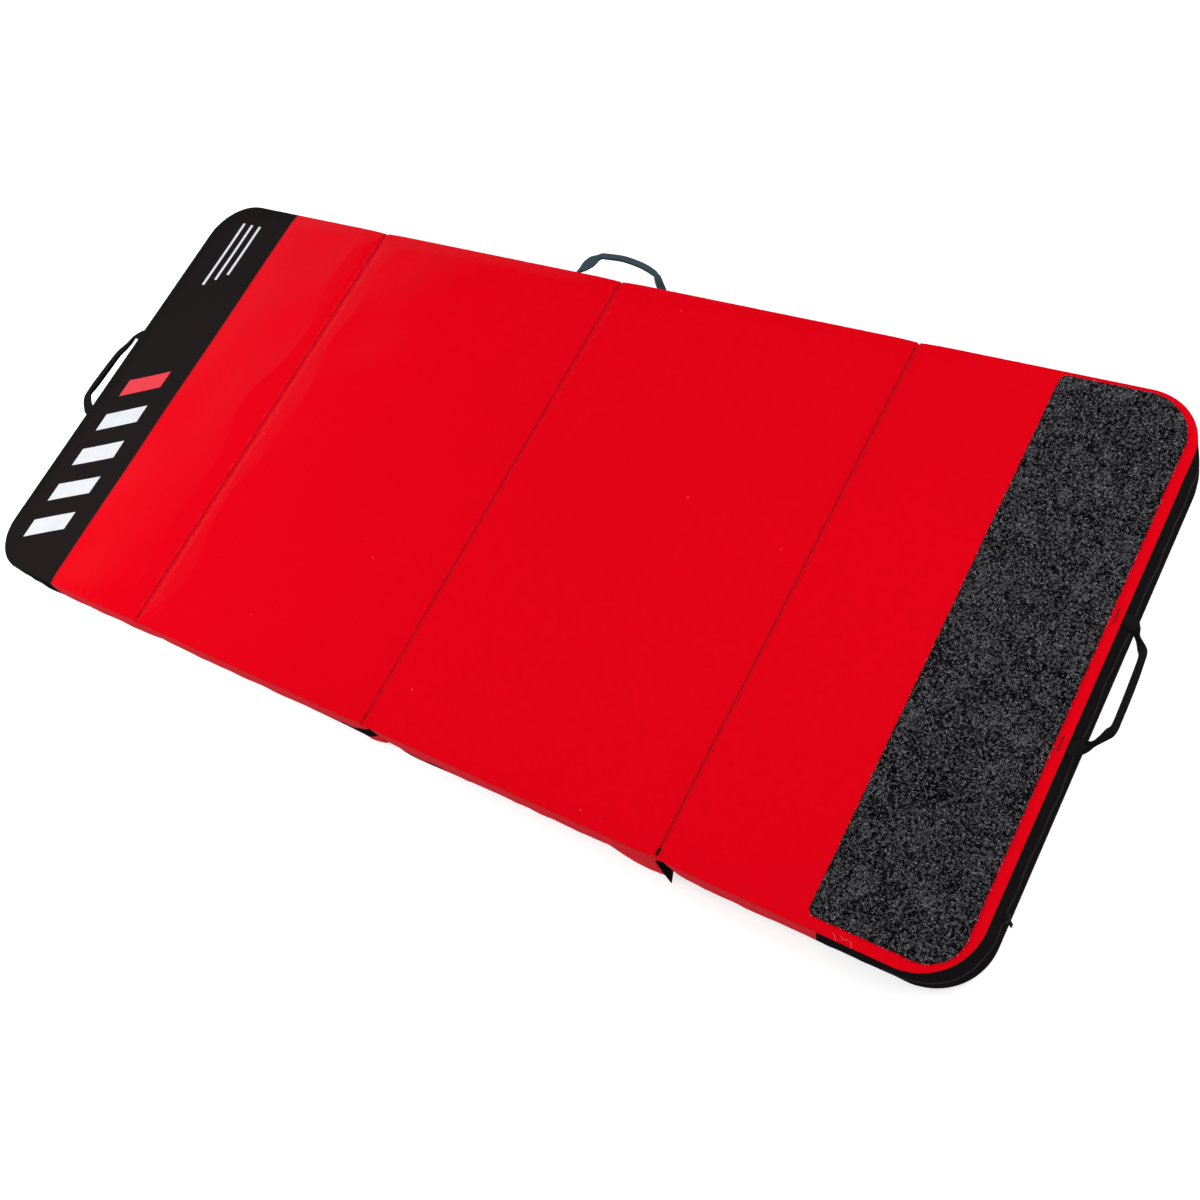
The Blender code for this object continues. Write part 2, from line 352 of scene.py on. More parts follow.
def woven_fabric(name, colour, painted_glance, scuff_colour, scuffs):
    """Plain-woven nylon: yarn relief, yarn-to-yarn shade, faint blotches and small pale scuffs.

    The third argument is painted light, not a colour of the cloth: it is painted in where the weave is
    seen at a low angle, apart from where it faces down; paler, it is a painted sheen, darker, a
    painted shade.
    """
    n = Nodes(name).on_object()
    waves = [n.wave(axis, WAVES_PER_METRE / YARN_PITCH) for axis in "XYZ"]
    weave = n.plus(n.plus(waves[0], waves[1]), waves[2])
    grain = n.noise(60.0, 4.0, 0.65)
    facing = n.add("LayerWeight", Blend=0.5).outputs["Facing"]
    # Painted light: how much of the glance colour is painted in, more at a low view angle, none facing
    # down
    painted_glance_share = n.times(n.ramp(facing, 0.34, 0.62), n.ramp(n.upward(), -0.34, -0.03, 0.9))
    speck = n.texture("Voronoi", {"feature": "F1"}, Scale=34.0, Randomness=1.0)["Distance"]
    near_speck = n.math("SUBTRACT", 1.0, n.ramp(speck, 0.03, 0.08))
    shade = n.layered(
        scaled(colour, 0.97),
        (n.ramp(n.noise(2.2, 3.0), 0.38, 0.62), scaled(colour, 1.02)),
        (n.ramp(grain, 0.35, 0.70), scaled(colour, 0.965)),
        (n.ramp(n.noise(0.5 / YARN_PITCH), 0.45, 0.75, 0.16), scaled(colour, 1.2)),
        (painted_glance_share, painted_glance),
        (n.times(near_speck, n.ramp(n.noise(9.0), 0.62, 0.74, scuffs)), scuff_colour),
    )
    relief = n.bump(weave, 0.00012, 0.55)
    relief = n.bump(n.noise(140.0, 3.0), 0.0004, 0.2, Normal=relief)
    n.finish(shade, n.plus(n.times(grain, 0.16), 0.50), relief, 0.0)


def webbing_material(name, colour, tint):
    """Woven strap: ribs, herringbone and wear patches, with painted shade and painted highlight. Uses
    metre UVs.
    """
    n = Nodes(name).on_object()
    parts = n.add("SeparateXYZ", i0=n.add("UVMap").outputs[0]).outputs
    ribs = n.sine(parts[0], RIB_PITCH)
    herringbone = n.sine(n.plus(parts[0], n.math("PINGPONG", parts[1], TWILL_BAND)), TWILL_PITCH)
    height = n.plus(n.times(ribs, 0.35), n.times(herringbone, 0.5))
    upward = n.upward()
    shade = n.layered(
        scaled(colour, 0.6),
        # Painted shade in the weave's hollows and painted highlight on its raised ribs and yarns
        (n.ramp(height, -0.5, 0.8), scaled(colour, 1.25)),
        (n.ramp(n.noise(70.0, 3.0), 0.5, 0.8, 0.5), tint),
        (n.ramp(n.noise(900.0), 0.5, 0.8, 0.25), scaled(tint, 1.4)),
        # Painted highlight where the strap faces up
        (n.ramp(upward, 0.80, 1.0, 0.5), tint),
    )
    # Painted shade on the sides and underside, where the strap does not face up
    shade = n.layered(scaled(colour, 0.30), (n.ramp(upward, 0.0, 0.75), shade))
    n.finish(shade, 0.7, n.bump(height, 0.00035, 0.8), 0.03)


def carpet_material(name, dark, light, scale=160.0, low=0.35, high=0.7):
    """Needled pile: clumps of near-black and grey fibre, matt."""
    n = Nodes(name).on_object()
    clumps = n.times(n.noise(scale, 3.0, 0.6), 0.55)
    tufts = n.times(n.noise(scale * 2.7), 0.45)
    patch = n.times(n.math("SUBTRACT", n.noise(22.0, 3.0), 0.5), 0.12)
    mixed = n.plus(n.plus(clumps, tufts), patch)
    shade = n.layered(dark, (n.ramp(mixed, low, high), light))
    n.finish(shade, 0.95, n.bump(mixed, 0.0012, 0.7), 0.0)


def thread_material(name, colour):
    """Twisted sewing thread: fine slanted plies."""
    n = Nodes(name).on_object()
    plies = n.wave("DIAGONAL", 500.0, 1.0)
    # Painted shade between the plies and painted highlight on them, from the same waves as the relief
    shade = n.layered(scaled(colour, 0.7), (plies, scaled(colour, 1.3)))
    n.finish(shade, 0.6, n.bump(plies, 0.0001, 0.6), 0.12)


def plastic_material(name, colour):
    """Moulded plastic with a fine satin grain."""
    n = Nodes(name).on_object()
    cloud = n.noise(90.0)
    shade = n.layered(scaled(colour, 0.85), (n.ramp(cloud, 0.3, 0.7), scaled(colour, 1.2)))
    rough = n.plus(n.times(cloud, 0.15), 0.48)
    n.finish(shade, rough, n.bump(n.noise(1500.0), 0.00006, 0.5), 0.08)


def print_material(name, colour):
    """Screen-printed ink: matt, slightly uneven, with fine pores."""
    n = Nodes(name).on_object()
    cloud = n.ramp(n.noise(45.0, 4.0), 0.3, 0.7)
    pores = n.ramp(n.noise(700.0), 0.62, 0.75, 0.25)
    shade = n.layered(scaled(colour, 0.93), (cloud, colour), (pores, scaled(colour, 0.6)))
    n.finish(shade, 0.5, n.bump(n.noise(900.0), 0.0001, 0.5), 0.5)


def make_materials():
    # The second colour of each nylon is painted light: a paler painted sheen on the red, a darker
    # painted shade on the black
    woven_fabric(
        "red_nylon", rgb(0.79, 0.0012, 0.0085), rgb(0.70, 0.030, 0.042), rgb(0.9, 0.30, 0.30), 0.4
    )
    painted_glance = rgb(0.0088, 0.0078, 0.0081)
    scuff = rgb(0.07, 0.066, 0.066)
    woven_fabric("black_nylon", rgb(0.0170, 0.0128, 0.0132), painted_glance, scuff, 0.3)
    # Each webbing's second colour tints its wear patches and is also its painted highlight where it
    # faces up
    tint = rgb(0.013, 0.012, 0.013)
    webbing_material("black_webbing", rgb(0.0048, 0.0045, 0.0047), tint)
    webbing_material("slate_webbing", rgb(0.017, 0.035, 0.045), rgb(0.070, 0.112, 0.132))
    pitch_black = rgb(0.0022, 0.0020, 0.0023)
    carpet_material("carpet_base", pitch_black, rgb(0.084, 0.082, 0.091), 210.0, 0.495, 0.575)
    carpet_material("carpet_dark", pitch_black, rgb(0.010, 0.0095, 0.0105))
    carpet_material("carpet_mid", rgb(0.026, 0.0255, 0.029), rgb(0.125, 0.123, 0.136))
    carpet_material("carpet_light", rgb(0.14, 0.14, 0.155), rgb(0.50, 0.50, 0.54))
    thread_material("red_thread", rgb(0.26, 0.001, 0.004))
    thread_material("black_thread", rgb(0.012, 0.012, 0.013))
    plastic_material("black_plastic", rgb(0.008, 0.0075, 0.0080))
    print_material("white_print", rgb(0.74, 0.76, 0.80))
    print_material("red_print", rgb(0.80, 0.02, 0.04))


# ---------------- soft covers


TOP, BAND, SIDE, END, BASE = range(5)
ZONES = {TOP: "top_cover", BAND: "end_band", SIDE: "side_wall", END: "end_wall", BASE: "base_cover"}
BLACK_ZONES = (BAND, END, BASE)
CELL = 0.0085
FOLD_CORNER = 0.005
UNDERSIZE = 0.0012
LEAN_REACH = 0.12
FOOT_INSET = 0.0040
BASE_SEAM_Z = 0.017
BASE_TURN = 0.0035
BASE_SHOWS = 0.17
TOP_SEAM_CREASE = 0.85
BASE_SEAM_CREASE = 0.6


def even_steps(start, end, *stops):
    """Values from start to end, about one CELL apart, that meet every stop."""
    marks = [start, *stops, end]
    values = [start]
    for a, b in zip(marks, marks[1:]):
        count = max(1, round((b - a) / CELL))
        values += [a + (b - a) * k / count for k in range(1, count + 1)]
    return values


def corner_radii(panel):
    """A panel's corner radius at its left end and at its right end."""
    return tuple(CORNER_RADIUS if panel == outer else FOLD_CORNER for outer in (1, 4))


def spans_at(panel, z):
    """Left and right ends of a panel at height z: fold faces lean, so that gaps open downwards."""
    share = np.clip(z / HEIGHT, 0.0, 1.0)
    return (base + (top - base) * share for base, top in zip(BASE_SPAN[panel], TOP_SPAN[panel]))


def round_corner(u, v):
    """Maps the outer quarter of a square onto a quarter disc."""
    if u <= 0 or v <= 0:
        return u, v
    return u * math.sqrt(1 - v * v / 2), v * math.sqrt(1 - u * u / 2)


def form_point(panel, x, y, z, inset):
    """A grid point with its corners rounded and its walls leaning, drawn in by inset."""
    left, right = TOP_SPAN[panel]
    middle = (left + right) / 2
    side = -1 if x < middle else 1
    radius = corner_radii(panel)[max(side, 0)]
    sign = math.copysign(1, y)
    centre_x = (left if side < 0 else right) - side * radius
    centre_y = sign * (HALF_WIDTH - radius)
    u, v = round_corner((x - centre_x) * side / radius, (y - centre_y) * sign / radius)
    shrink_x = 1 - 2 * inset / (right - left)
    x = (centre_x + u * side * radius - middle) * shrink_x + middle
    foot = FOOT_INSET * (1 - z / HEIGHT)
    if z <= 0:
        foot *= 1 - math.exp(-(((x - FOLD_X[2]) / BASE_SHOWS) ** 2))
    y = (centre_y + v * sign * radius) * (1 - (inset + foot) / HALF_WIDTH)
    low_left, low_right = spans_at(panel, z)
    x += (low_left - left) * max(0.0, 1 - (x - left) / LEAN_REACH)
    x += (low_right - right) * max(0.0, 1 - (right - x) / LEAN_REACH)
    return x, y, z


def panel_form(panel):
    """A closed form of even quads a little smaller than the panel, with rows on all its seams."""
    xs = even_steps(*TOP_SPAN[panel], *([BAND_X] if panel == 1 else []))
    ys = even_steps(-HALF_WIDTH, HALF_WIDTH)
    columns, rows = len(xs), len(ys)
    outline = [(i, 0) for i in range(columns)] + [(columns - 1, j) for j in range(1, rows)]
    outline += [(i, rows - 1) for i in reversed(range(columns - 1))]
    outline += [(0, j) for j in reversed(range(1, rows - 1))]
    vertices, faces, zones = [], [], []

    def sheet(z, inset):
        first = len(vertices)
        vertices.extend(form_point(panel, x, y, z, inset) for x in xs for y in ys)
        return lambda i, j: first + i * rows + j

    top, base = sheet(HEIGHT - UNDERSIZE, UNDERSIZE), sheet(0.0, BASE_TURN)
    for i in range(columns - 1):
        band = panel == 1 and xs[i + 1] < BAND_X + CELL / 10
        for j in range(rows - 1):
            faces.append((top(i, j), top(i + 1, j), top(i + 1, j + 1), top(i, j + 1)))
            faces.append((base(i, j), base(i, j + 1), base(i + 1, j + 1), base(i + 1, j)))
            zones += [BAND if band else TOP, BASE]
    levels = even_steps(BASE_SEAM_Z, HEIGHT - UNDERSIZE, ZIP_Z)
    rings = [[base(i, j) for i, j in outline]]
    for z in levels[:-1]:
        rings.append(list(range(len(vertices), len(vertices) + len(outline))))
        vertices.extend(form_point(panel, xs[i], ys[j], z, UNDERSIZE) for i, j in outline)
    rings.append([top(i, j) for i, j in outline])
    for number, (low, high) in enumerate(zip(rings, rings[1:])):
        for k, (i, _) in enumerate(outline):
            m = (k + 1) % len(outline)
            faces.append((low[k], low[m], high[m], high[k]))
            black = panel == 1 and (xs[i] + xs[outline[m][0]]) / 2 < BAND_X
            zones.append(BASE if number == 0 else END if black else SIDE)
    obj = new_object(f"panel_{panel}_form", mesh_from(f"panel_{panel}_form", vertices, faces))
    obj.data.polygons.foreach_set("material_index", zones)
    for _ in ZONES:
        obj.data.materials.append(None)
    zip_level = int(np.argmin([abs(z - ZIP_Z) for z in levels]))
    zip_ring = [v for v in rings[1 + zip_level] if abs(vertices[v][0]) > END_WALL_X]
    pin_seams(obj, rings[0] + rings[1] + rings[-1] + zip_ring)
    sharpness = dict.fromkeys(rings[-1], TOP_SEAM_CREASE)
    sharpness.update(dict.fromkeys(rings[0] + rings[1], BASE_SEAM_CREASE))
    crease_seams(obj.data, sharpness)
    return obj


def pin_seams(obj, seams):
    """Holds the sewn lines still while the fabric between them swells, most on the walls."""
    obj.vertex_groups.new(name="seams").add(seams, 1.0, "REPLACE")
    heights = points_of(obj.data)[:, 2]
    walls = (heights > BASE_SEAM_Z) & (heights < HEIGHT - UNDERSIZE - CELL / 10)
    slack = obj.vertex_groups.new(name="slack")
    slack.add(np.nonzero(walls)[0].tolist(), 1.0, "REPLACE")
    slack.add(np.nonzero(~walls)[0].tolist(), 0.25, "REPLACE")


def crease_seams(mesh, sharpness):
    """Keeps the seams crisp through the later subdivision. sharpness is kept for each vertex."""
    crease = mesh.attributes.new("crease_edge", "FLOAT", "EDGE")
    heights = points_of(mesh)[:, 2]
    values = []
    for a, b in (edge.vertices for edge in mesh.edges):
        level = abs(heights[a] - heights[b]) < CELL / 10
        values.append(min(sharpness.get(a, 0.0), sharpness.get(b, 0.0)) if level else 0.0)
    crease.data.foreach_set("value", values)


SIM_FRAMES = 20
MOST_SWELL = 0.0034
CLOTH = {
    "quality": 4,
    "mass": 0.3,
    "tension_stiffness": 12,
    "compression_stiffness": 12,
    "bending_stiffness": 0.4,
    "use_pressure": True,
    "uniform_pressure_force": 4.0,
    "vertex_group_mass": "seams",
    "vertex_group_shrink": "slack",
    "shrink_min": 0.0,
    "shrink_max": -0.012,
}


def swell(forms):
    """Blows the panels up like stuffed covers, then caps how far each point may have moved."""
    rest = {panel: points_of(obj.data) for panel, obj in forms.items()}
    for obj in forms.values():
        cloth = obj.modifiers.new("swell", "CLOTH")
        for key, value in CLOTH.items():
            setattr(cloth.settings, key, value)
        cloth.settings.effector_weights.gravity = 0
        cloth.point_cache.frame_end = SIM_FRAMES
    scene = bpy.context.scene
    for step in range(1, SIM_FRAMES + 1):
        scene.frame_set(step)
    graph = bpy.context.evaluated_depsgraph_get()
    for panel, obj in forms.items():
        moved = points_of(obj.evaluated_get(graph).data) - rest[panel]
        obj.modifiers.clear()
        length = np.linalg.norm(moved, axis=1, keepdims=True)
        moved *= np.minimum(1.0, MOST_SWELL / np.maximum(length, 1e-9))
        set_points(obj.data, rest[panel] + moved)
    scene.frame_set(1)


FOLD_RISE = 0.038
WALL_CREASE = 0.0012
TOP_LUMPS = 0.0008
EDGE_PUCKER = 0.00022
FOLD_PUCKER = 0.0005
FOLD_END_REACH = 0.06
FOLD_END_PINCH = 0.0012
FOLD_END_DRAW = 0.0030


def fold_distances(panel, points):
    """For each fold that a panel meets: the fold, and how far from it the points lie."""
    for fold, side in ((panel - 1, 1), (panel, -1)):
        if fold in FOLDS:
            yield fold, np.maximum((points[:, 0] - FOLD_X[fold]) * side, 0.0)


def inset_in_panel(panel, points):
    left, right = spans_at(panel, points[:, 2])
    x = points[:, 0] - (left + right) / 2
    radius = np.where(x < 0, *corner_radii(panel))
    return inset_in_box(x, points[:, 1], (right - left) / 2, HALF_WIDTH, radius)


def shape_cover(obj, panel):
    """Subdivides the swollen form, then adds the wrinkles and puckers of its fabric."""
    subdivide = obj.modifiers.new("fine", "SUBSURF")
    subdivide.levels = 1
    apply_modifiers(obj)
    points = points_of(obj.data)
    normals = np.empty(len(points) * 3, np.float32)
    obj.data.vertex_normals.foreach_get("vector", normals)
    normals = normals.reshape(-1, 3)
    x, y, z = points.T
    inset = inset_in_panel(panel, points)
    plan = points[:, :2]

    share = np.clip(z / HEIGHT, 0, 1)
    drape = np.stack([x, y, z * 0.9 + 0.45 * (x + y)], axis=1)
    creases = ripples(drape, 0.060, 10 + panel) + 0.4 * ripples(drape, 0.026, 20 + panel)
    wall_folds = WALL_CREASE * 4 * share * (1 - share) * creases
    on_wall = smooth_step(np.abs(normals[:, 2]), 0.7, 0.3)
    on_top = smooth_step(normals[:, 2], 0.5, 0.9)
    lying = TOP_LUMPS * smooth_step(inset, 0.004, 0.05) * ripples(plan, 0.22, 40 + panel)
    edge_puckers = EDGE_PUCKER * np.exp(-inset / 0.020) * ripples(plan, 0.018, 50 + panel)
    points += normals * (on_wall * wall_folds + on_top * (lying + edge_puckers))[:, None]

    limit = np.full(len(points), HEIGHT + MOST_SWELL)
    for fold, distance in fold_distances(panel, points):
        line = np.stack([points[:, 1], points[:, 0] * 0.25], axis=1)
        puckers = FOLD_PUCKER * np.exp(-distance / 0.014) * ripples(line, 0.017, 60 + fold)
        points[:, 2] += on_top * puckers
        limit = np.minimum(limit, HEIGHT + FOLD_RISE * distance)
    points[:, 2] = np.clip(points[:, 2], 0.0, limit)
    set_points(obj.data, points)


def settle(mesh, panel):
    """Draws in the fold ends, and puckers the near corners beside folds 2 and 3."""
    points = points_of(mesh)
    share = np.clip(points[:, 2] / HEIGHT, 0, 1)
    for _, distance in fold_distances(panel, points):
        for sign in (NEAR, FAR):
            at_end = smooth_step(points[:, 1] * sign, HALF_WIDTH - FOLD_END_REACH, HALF_WIDTH)
            at_end = at_end * bell(distance, 0.035)
            drawn = FOLD_END_DRAW * (1 - share) ** 2
            points[:, 1] -= sign * at_end * (FOLD_END_PINCH + drawn)
            points[:, 2] += at_end * drawn
    if panel == 2:
        points += hollow(points)
    if panel == 3:
        points += pleat(points, share)
    set_points(mesh, points)


PATCH_REACH = 0.175
PATCH_TOP = 0.086
PATCH_FOOT = 0.012
PATCH_HOLLOW = 0.0050
LIP_REACH = 0.075
LIP_TOP = 0.048
LIP_BULGE = 0.0035
PLEAT_REACH = 0.170
PLEAT_TOP = 0.098
PLEAT_DEPTH = 0.0085
GROOVE_DEPTH = 0.0040
CORNER_LIFT = 0.004


def patch_edges(distance):
    """Heights of the black patch's upper and lower edges at a distance from fold 2."""
    upper = PATCH_TOP + (PATCH_FOOT - PATCH_TOP) * distance / PATCH_REACH
    lower = LIP_TOP * (1 - distance / LIP_REACH)
    return upper, np.maximum(lower, 0.0)


def hollow(points):
    """Panel 2's near wall beside fold 2: drawn in at the black patch, slack in the lip under it."""
    x, y, z = points.T
    distance = FOLD_X[2] - x
    on_wall = smooth_step(-y, HALF_WIDTH - 0.020, HALF_WIDTH - 0.008)
    upper, lower = patch_edges(distance)
    reach = smooth_step(distance, PATCH_REACH, 0.02)
    inside = bell(z - (upper + lower) / 2, 0.014)
    lip = bell(z - 0.5 * lower, 0.012) * smooth_step(lower, 0.0, 0.02)
    moved = np.zeros_like(points)
    moved[:, 1] = on_wall * reach * (PATCH_HOLLOW * inside - LIP_BULGE * lip)
    return moved


def pleat(points, share):
    """The slack flap low in panel 3's near wall: it stands out under a groove, most at fold 3."""
    x, y, z = points.T
    distance = FOLD_X[3] - x
    near = smooth_step(-y, HALF_WIDTH - 0.09, HALF_WIDTH)
    on_wall = smooth_step(-y, HALF_WIDTH - 0.020, HALF_WIDTH - 0.009)
    ridge = PLEAT_TOP * (1 - distance / PLEAT_REACH)
    reach = smooth_step(distance, PLEAT_REACH, 0.04) * smooth_step(distance, -0.002, 0.010)
    flap = smooth_step(z, ridge, ridge - 0.030)
    groove = bell(z - ridge, 0.010)
    moved = np.zeros_like(points)
    moved[:, 1] = -on_wall * reach * (PLEAT_DEPTH * flap - GROOVE_DEPTH * groove)
    moved[:, 2] = near * bell(distance, 0.060) * (1 - share) ** 2 * CORNER_LIFT
    return moved


def bisect_walls(bm, faces, place, normal):
    """Cuts faces along a plane, so that a seam can run straight across their grid."""
    edges = {edge for face in faces for edge in face.edges}
    verts = {vert for face in faces for vert in face.verts}
    geometry = [*faces, *edges, *verts]
    bmesh.ops.bisect_plane(bm, geom=geometry, dist=1e-5, plane_co=place, plane_no=normal)


def slant_seam(bm, top_x, lean, black_side):
    """Starts the black end wall on a line from the top seam that leans back towards its foot."""
    walls = [face for face in bm.faces if face.material_index in (SIDE, END)]
    bisect_walls(bm, walls, (top_x, 0, HEIGHT), (HEIGHT, 0, -lean))
    for face in bm.faces:
        if face.material_index in (SIDE, END):
            centre = face.calc_center_median()
            seam = top_x - lean * (1 - centre.z / HEIGHT)
            face.material_index = END if (centre.x - seam) * black_side > 0 else SIDE


def in_patch_reach(centre):
    on_wall = centre.y < -HALF_WIDTH + FOOT_INSET + 0.006 and centre.z > 0.001
    return on_wall and FOLD_X[2] - PATCH_REACH < centre.x


def near_corner_patch(bm):
    """Black fabric low on panel 2's near wall beside fold 2, with a red lip under it."""
    rows = ((PATCH_REACH, PATCH_TOP - PATCH_FOOT, PATCH_FOOT), (LIP_REACH, LIP_TOP, 0.0))
    for reach, rise, foot in rows:
        near = [face for face in bm.faces if in_patch_reach(face.calc_center_median())]
        bisect_walls(bm, near, (FOLD_X[2] - reach, 0, foot), (rise, 0, -reach))
    for face in bm.faces:
        centre = face.calc_center_median()
        if in_patch_reach(centre):
            upper, lower = patch_edges(FOLD_X[2] - centre.x)
            if centre.z < upper:
                face.material_index = SIDE if centre.z < lower else BASE


BAND_SEAM_LEAN = 0.075


def split_cover(obj, panel):
    """Takes the swollen form apart along its seams into the pieces of fabric it is sewn from."""
    bm = bmesh.new()
    bm.from_mesh(obj.data)
    if panel == 1:
        slant_seam(bm, BAND_X, BAND_SEAM_LEAN, -1)
    if panel == 2:
        near_corner_patch(bm)
    if panel == 4:
        slant_seam(bm, END_WALL_X, END_WALL_LEAN, 1)
    pieces = {}
    for zone in sorted({face.material_index for face in bm.faces}):
        part = bm.copy()
        others = [face for face in part.faces if face.material_index != zone]
        bmesh.ops.delete(part, geom=others, context="FACES")
        for face in part.faces:
            face.material_index = 0
        pieces[zone] = mesh_of(ZONES[zone], part)
    bm.free()
    return pieces


def make_covers():
    """Every panel's sewn cover. Returns each panel's whole outer surface, to place things on."""
    forms = {panel: panel_form(panel) for panel in PANELS}
    swell(forms)
    surfaces = {}
    for panel, form in forms.items():
        shape_cover(form, panel)
        for zone, mesh in split_cover(form, panel).items():
            settle(mesh, panel)
            slot = "black_nylon" if zone in BLACK_ZONES else "red_nylon"
            piece = new_object(f"panel_{panel}_soft_{ZONES[zone]}", mesh, slot)
            thicken(piece, FABRIC)
            attach(piece, f"panel_{panel}", slot, f"panel_{panel}_{ZONES[zone]}")
            if zone == TOP:
                for layer in ("base", "core", "top"):
                    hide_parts(f"panel_{panel}_foam_{layer}")
        settle(form.data, panel)
        points = [v.co.copy() for v in form.data.vertices]
        surfaces[panel] = BVHTree.FromPolygons(points, [p.vertices for p in form.data.polygons])
        bpy.data.objects.remove(form)
    return surfaces


# ---------------- placing things on the covers


def top_at(panel, x, y):
    """Point and normal of the cover's top surface over (x, y)."""
    place, normal, _, _ = SURFACES[panel].ray_cast(Vector((x, y, 2 * HEIGHT)), -UP)
    if place is None:
        return Vector((x, y, HEIGHT)), UP
    return place, normal


def wall_at(panel, x, y, z, outward):
    """Point of a side surface, met by coming in from outside."""
    goal = Vector((x, y, z))
    place = SURFACES[panel].ray_cast(goal + outward * 0.08, -outward)[0]
    return goal if place is None else place


# One stitch, from end to end: share of its length, share of its radius, rise in radii
STITCH = ((-0.5, 0.25, -0.9), (-0.3, 0.85, 0.1), (0.0, 1.0, 0.45), (0.3, 0.85, 0.1), (0.5, 0.25, -0.9))
STITCH_SIDES = 6
STITCH_PITCH = 0.0042


def stitches(name, path, body, material, length=0.0032, radius=0.00045, sunk=0.2):
    """A row of separate stitches. path holds (place, direction, normal) for each stitch."""
    vertices, faces = [], []
    for place, direction, normal in path:
        across = direction.cross(normal).normalized()
        faces += tube_faces(len(vertices), STITCH_SIDES, len(STITCH))
        for along, size, rise in STITCH:
            centre = place + direction * (along * length) + normal * (radius * (rise - sunk))
            for k in range(STITCH_SIDES):
                angle = k * TAU / STITCH_SIDES
                offset = across * math.cos(angle) + normal * math.sin(angle)
                vertices.append(centre + offset * (radius * size))
    obj = closed_object(name, mesh_from(name, vertices, faces), material)
    obj.data.shade_smooth()
    attach(obj, body, "red_thread" if material == "red_thread" else "black_nylon")
    return obj


def line_on_top(panel, start, end, pitch=STITCH_PITCH):
    """Stitch places in a straight row over a panel's top."""
    start, end = Vector(start), Vector(end)
    count = int((end - start).length / pitch)
    heading = (end - start).to_3d().normalized()
    row = []
    for i in range(count + 1):
        place, normal = top_at(panel, *start.lerp(end, i / count))
        direction = (heading - normal * heading.dot(normal)).normalized()
        row.append((place, direction, normal))
    return row


# ---------------- folds


HINGE_HALF = 0.011
CREASE_HALF = 0.0014
CREASE_DEPTH = 0.0028
HINGE_END = 0.0016
HINGE_TUCK = 0.0030
HINGE_LUMPS = 0.00045
HINGE_STATIONS = [step / 160 for step in (0, 7, 15, 22, 34, 52, 80, 120, 160)]
HINGE_STEP = 0.004
TOPSTITCH_FROM_FOLD = 0.0048
SEAM_PITCH = 0.0040


def hinge_height(fold, side, distance, y):
    """Height of the hinge fabric: a narrow crease on the fold, then onto the panel's top."""
    panel = fold if side < 0 else fold + 1
    beyond, _ = top_at(panel, FOLD_X[fold] + side * (HINGE_HALF + 0.004), y)
    near_end = smooth_step(abs(y), HALF_WIDTH - 0.035, HALF_WIDTH - 0.012)
    crease = CREASE_DEPTH * (1 + 0.8 * near_end)
    crease *= bell(distance, CREASE_HALF * (1 + 0.9 * near_end))
    share = smooth_step(distance, 0.0, HINGE_HALF)
    shoulder = HEIGHT + (beyond.z - 0.0006 - HEIGHT) * share
    end = HALF_WIDTH - HINGE_END
    tuck = HINGE_TUCK * smooth_step(abs(y), end - 0.007, end)
    return shoulder - 0.0003 - crease - tuck


def make_hinge(fold):
    """The strip of cover that crosses a fold."""
    offsets = [HINGE_HALF * share for share in HINGE_STATIONS]
    offsets = [-offset for offset in reversed(offsets[1:])] + offsets
    rows = int(2 * HALF_WIDTH / HINGE_STEP)
    half = HALF_WIDTH - HINGE_END
    vertices = []
    for row in range(rows + 1):
        y = -half + 2 * half * row / rows
        for offset in offsets:
            side = 1 if offset > 0 else -1
            vertices.append((FOLD_X[fold] + offset, y, hinge_height(fold, side, abs(offset), y)))
    points = np.array(vertices)
    off = points[:, 0] - FOLD_X[fold]
    line = np.stack([points[:, 1], off * 0.4], axis=1)
    swell_share = np.sin(np.clip(np.abs(off) / HINGE_HALF, 0, 1) * math.pi)
    points[:, 2] += HINGE_LUMPS * swell_share * ripples(line, 0.013, 80 + fold)
    name = f"fold_{fold}_hinge"
    faces = grid_faces(rows + 1, len(offsets))[:, ::-1]
    obj = new_object(name, mesh_from(name, points, faces.tolist()), "red_nylon")
    thicken(obj, FABRIC)
    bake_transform(obj)


def make_fold_seam(fold):
    """The line of thread down in the crease."""
    half = HALF_WIDTH - 0.013
    count = int(2 * half / SEAM_PITCH)
    z = HEIGHT - CREASE_DEPTH + 0.0006
    path = []
    for i in range(count + 1):
        place = Vector((FOLD_X[fold], -half + i * 2 * half / count, z))
        path.append((place, Vector((0, 1, 0)), UP))
    body = frame["nodes"][f"fold_{fold}_seam"]["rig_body"]
    seam = stitches(f"fold_{fold}_thread", path, body, "red_thread", 0.0046, 0.0007, 0.0)
    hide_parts(f"fold_{fold}_seam")


def make_topstitching(fold):
    """Rows of stitches on both panels beside a fold."""
    half = HALF_WIDTH - 0.012
    for side, panel in ((-1, fold), (1, fold + 1)):
        x = FOLD_X[fold] + side * TOPSTITCH_FROM_FOLD
        lifted = []
        for place, direction, _ in line_on_top(panel, (x, -half), (x, half)):
            z = hinge_height(fold, side, TOPSTITCH_FROM_FOLD, place.y)
            lifted.append((Vector((x, place.y, z)), direction, UP))
        stitches(f"fold_{fold}_topstitch_{panel}", lifted, f"panel_{panel}", "red_thread")


# ---------------- carpet


CARPET_INNER_RADIUS = 0.012
CARPET_NEAR_RADIUS = corner_radius("carpet", 1)
CARPET_FAR_RADIUS = 0.085
PILE_STEP = 0.0021
TUFTS = {"dark": 4200, "mid": 7000, "light": 9000}
RIM_TUFTS = {"dark": 1100, "mid": 700, "light": 420}
TUFT_FIBRES = 2
TUFT_SPREAD = 0.0012
RIM = 0.0010
RIM_SEARCH = 150000
FIBRE_LENGTH = 0.0050
FIBRE_WIDTH = 0.00098
LINT_HAIRS = 3
LINT_WIDTH = 0.00042


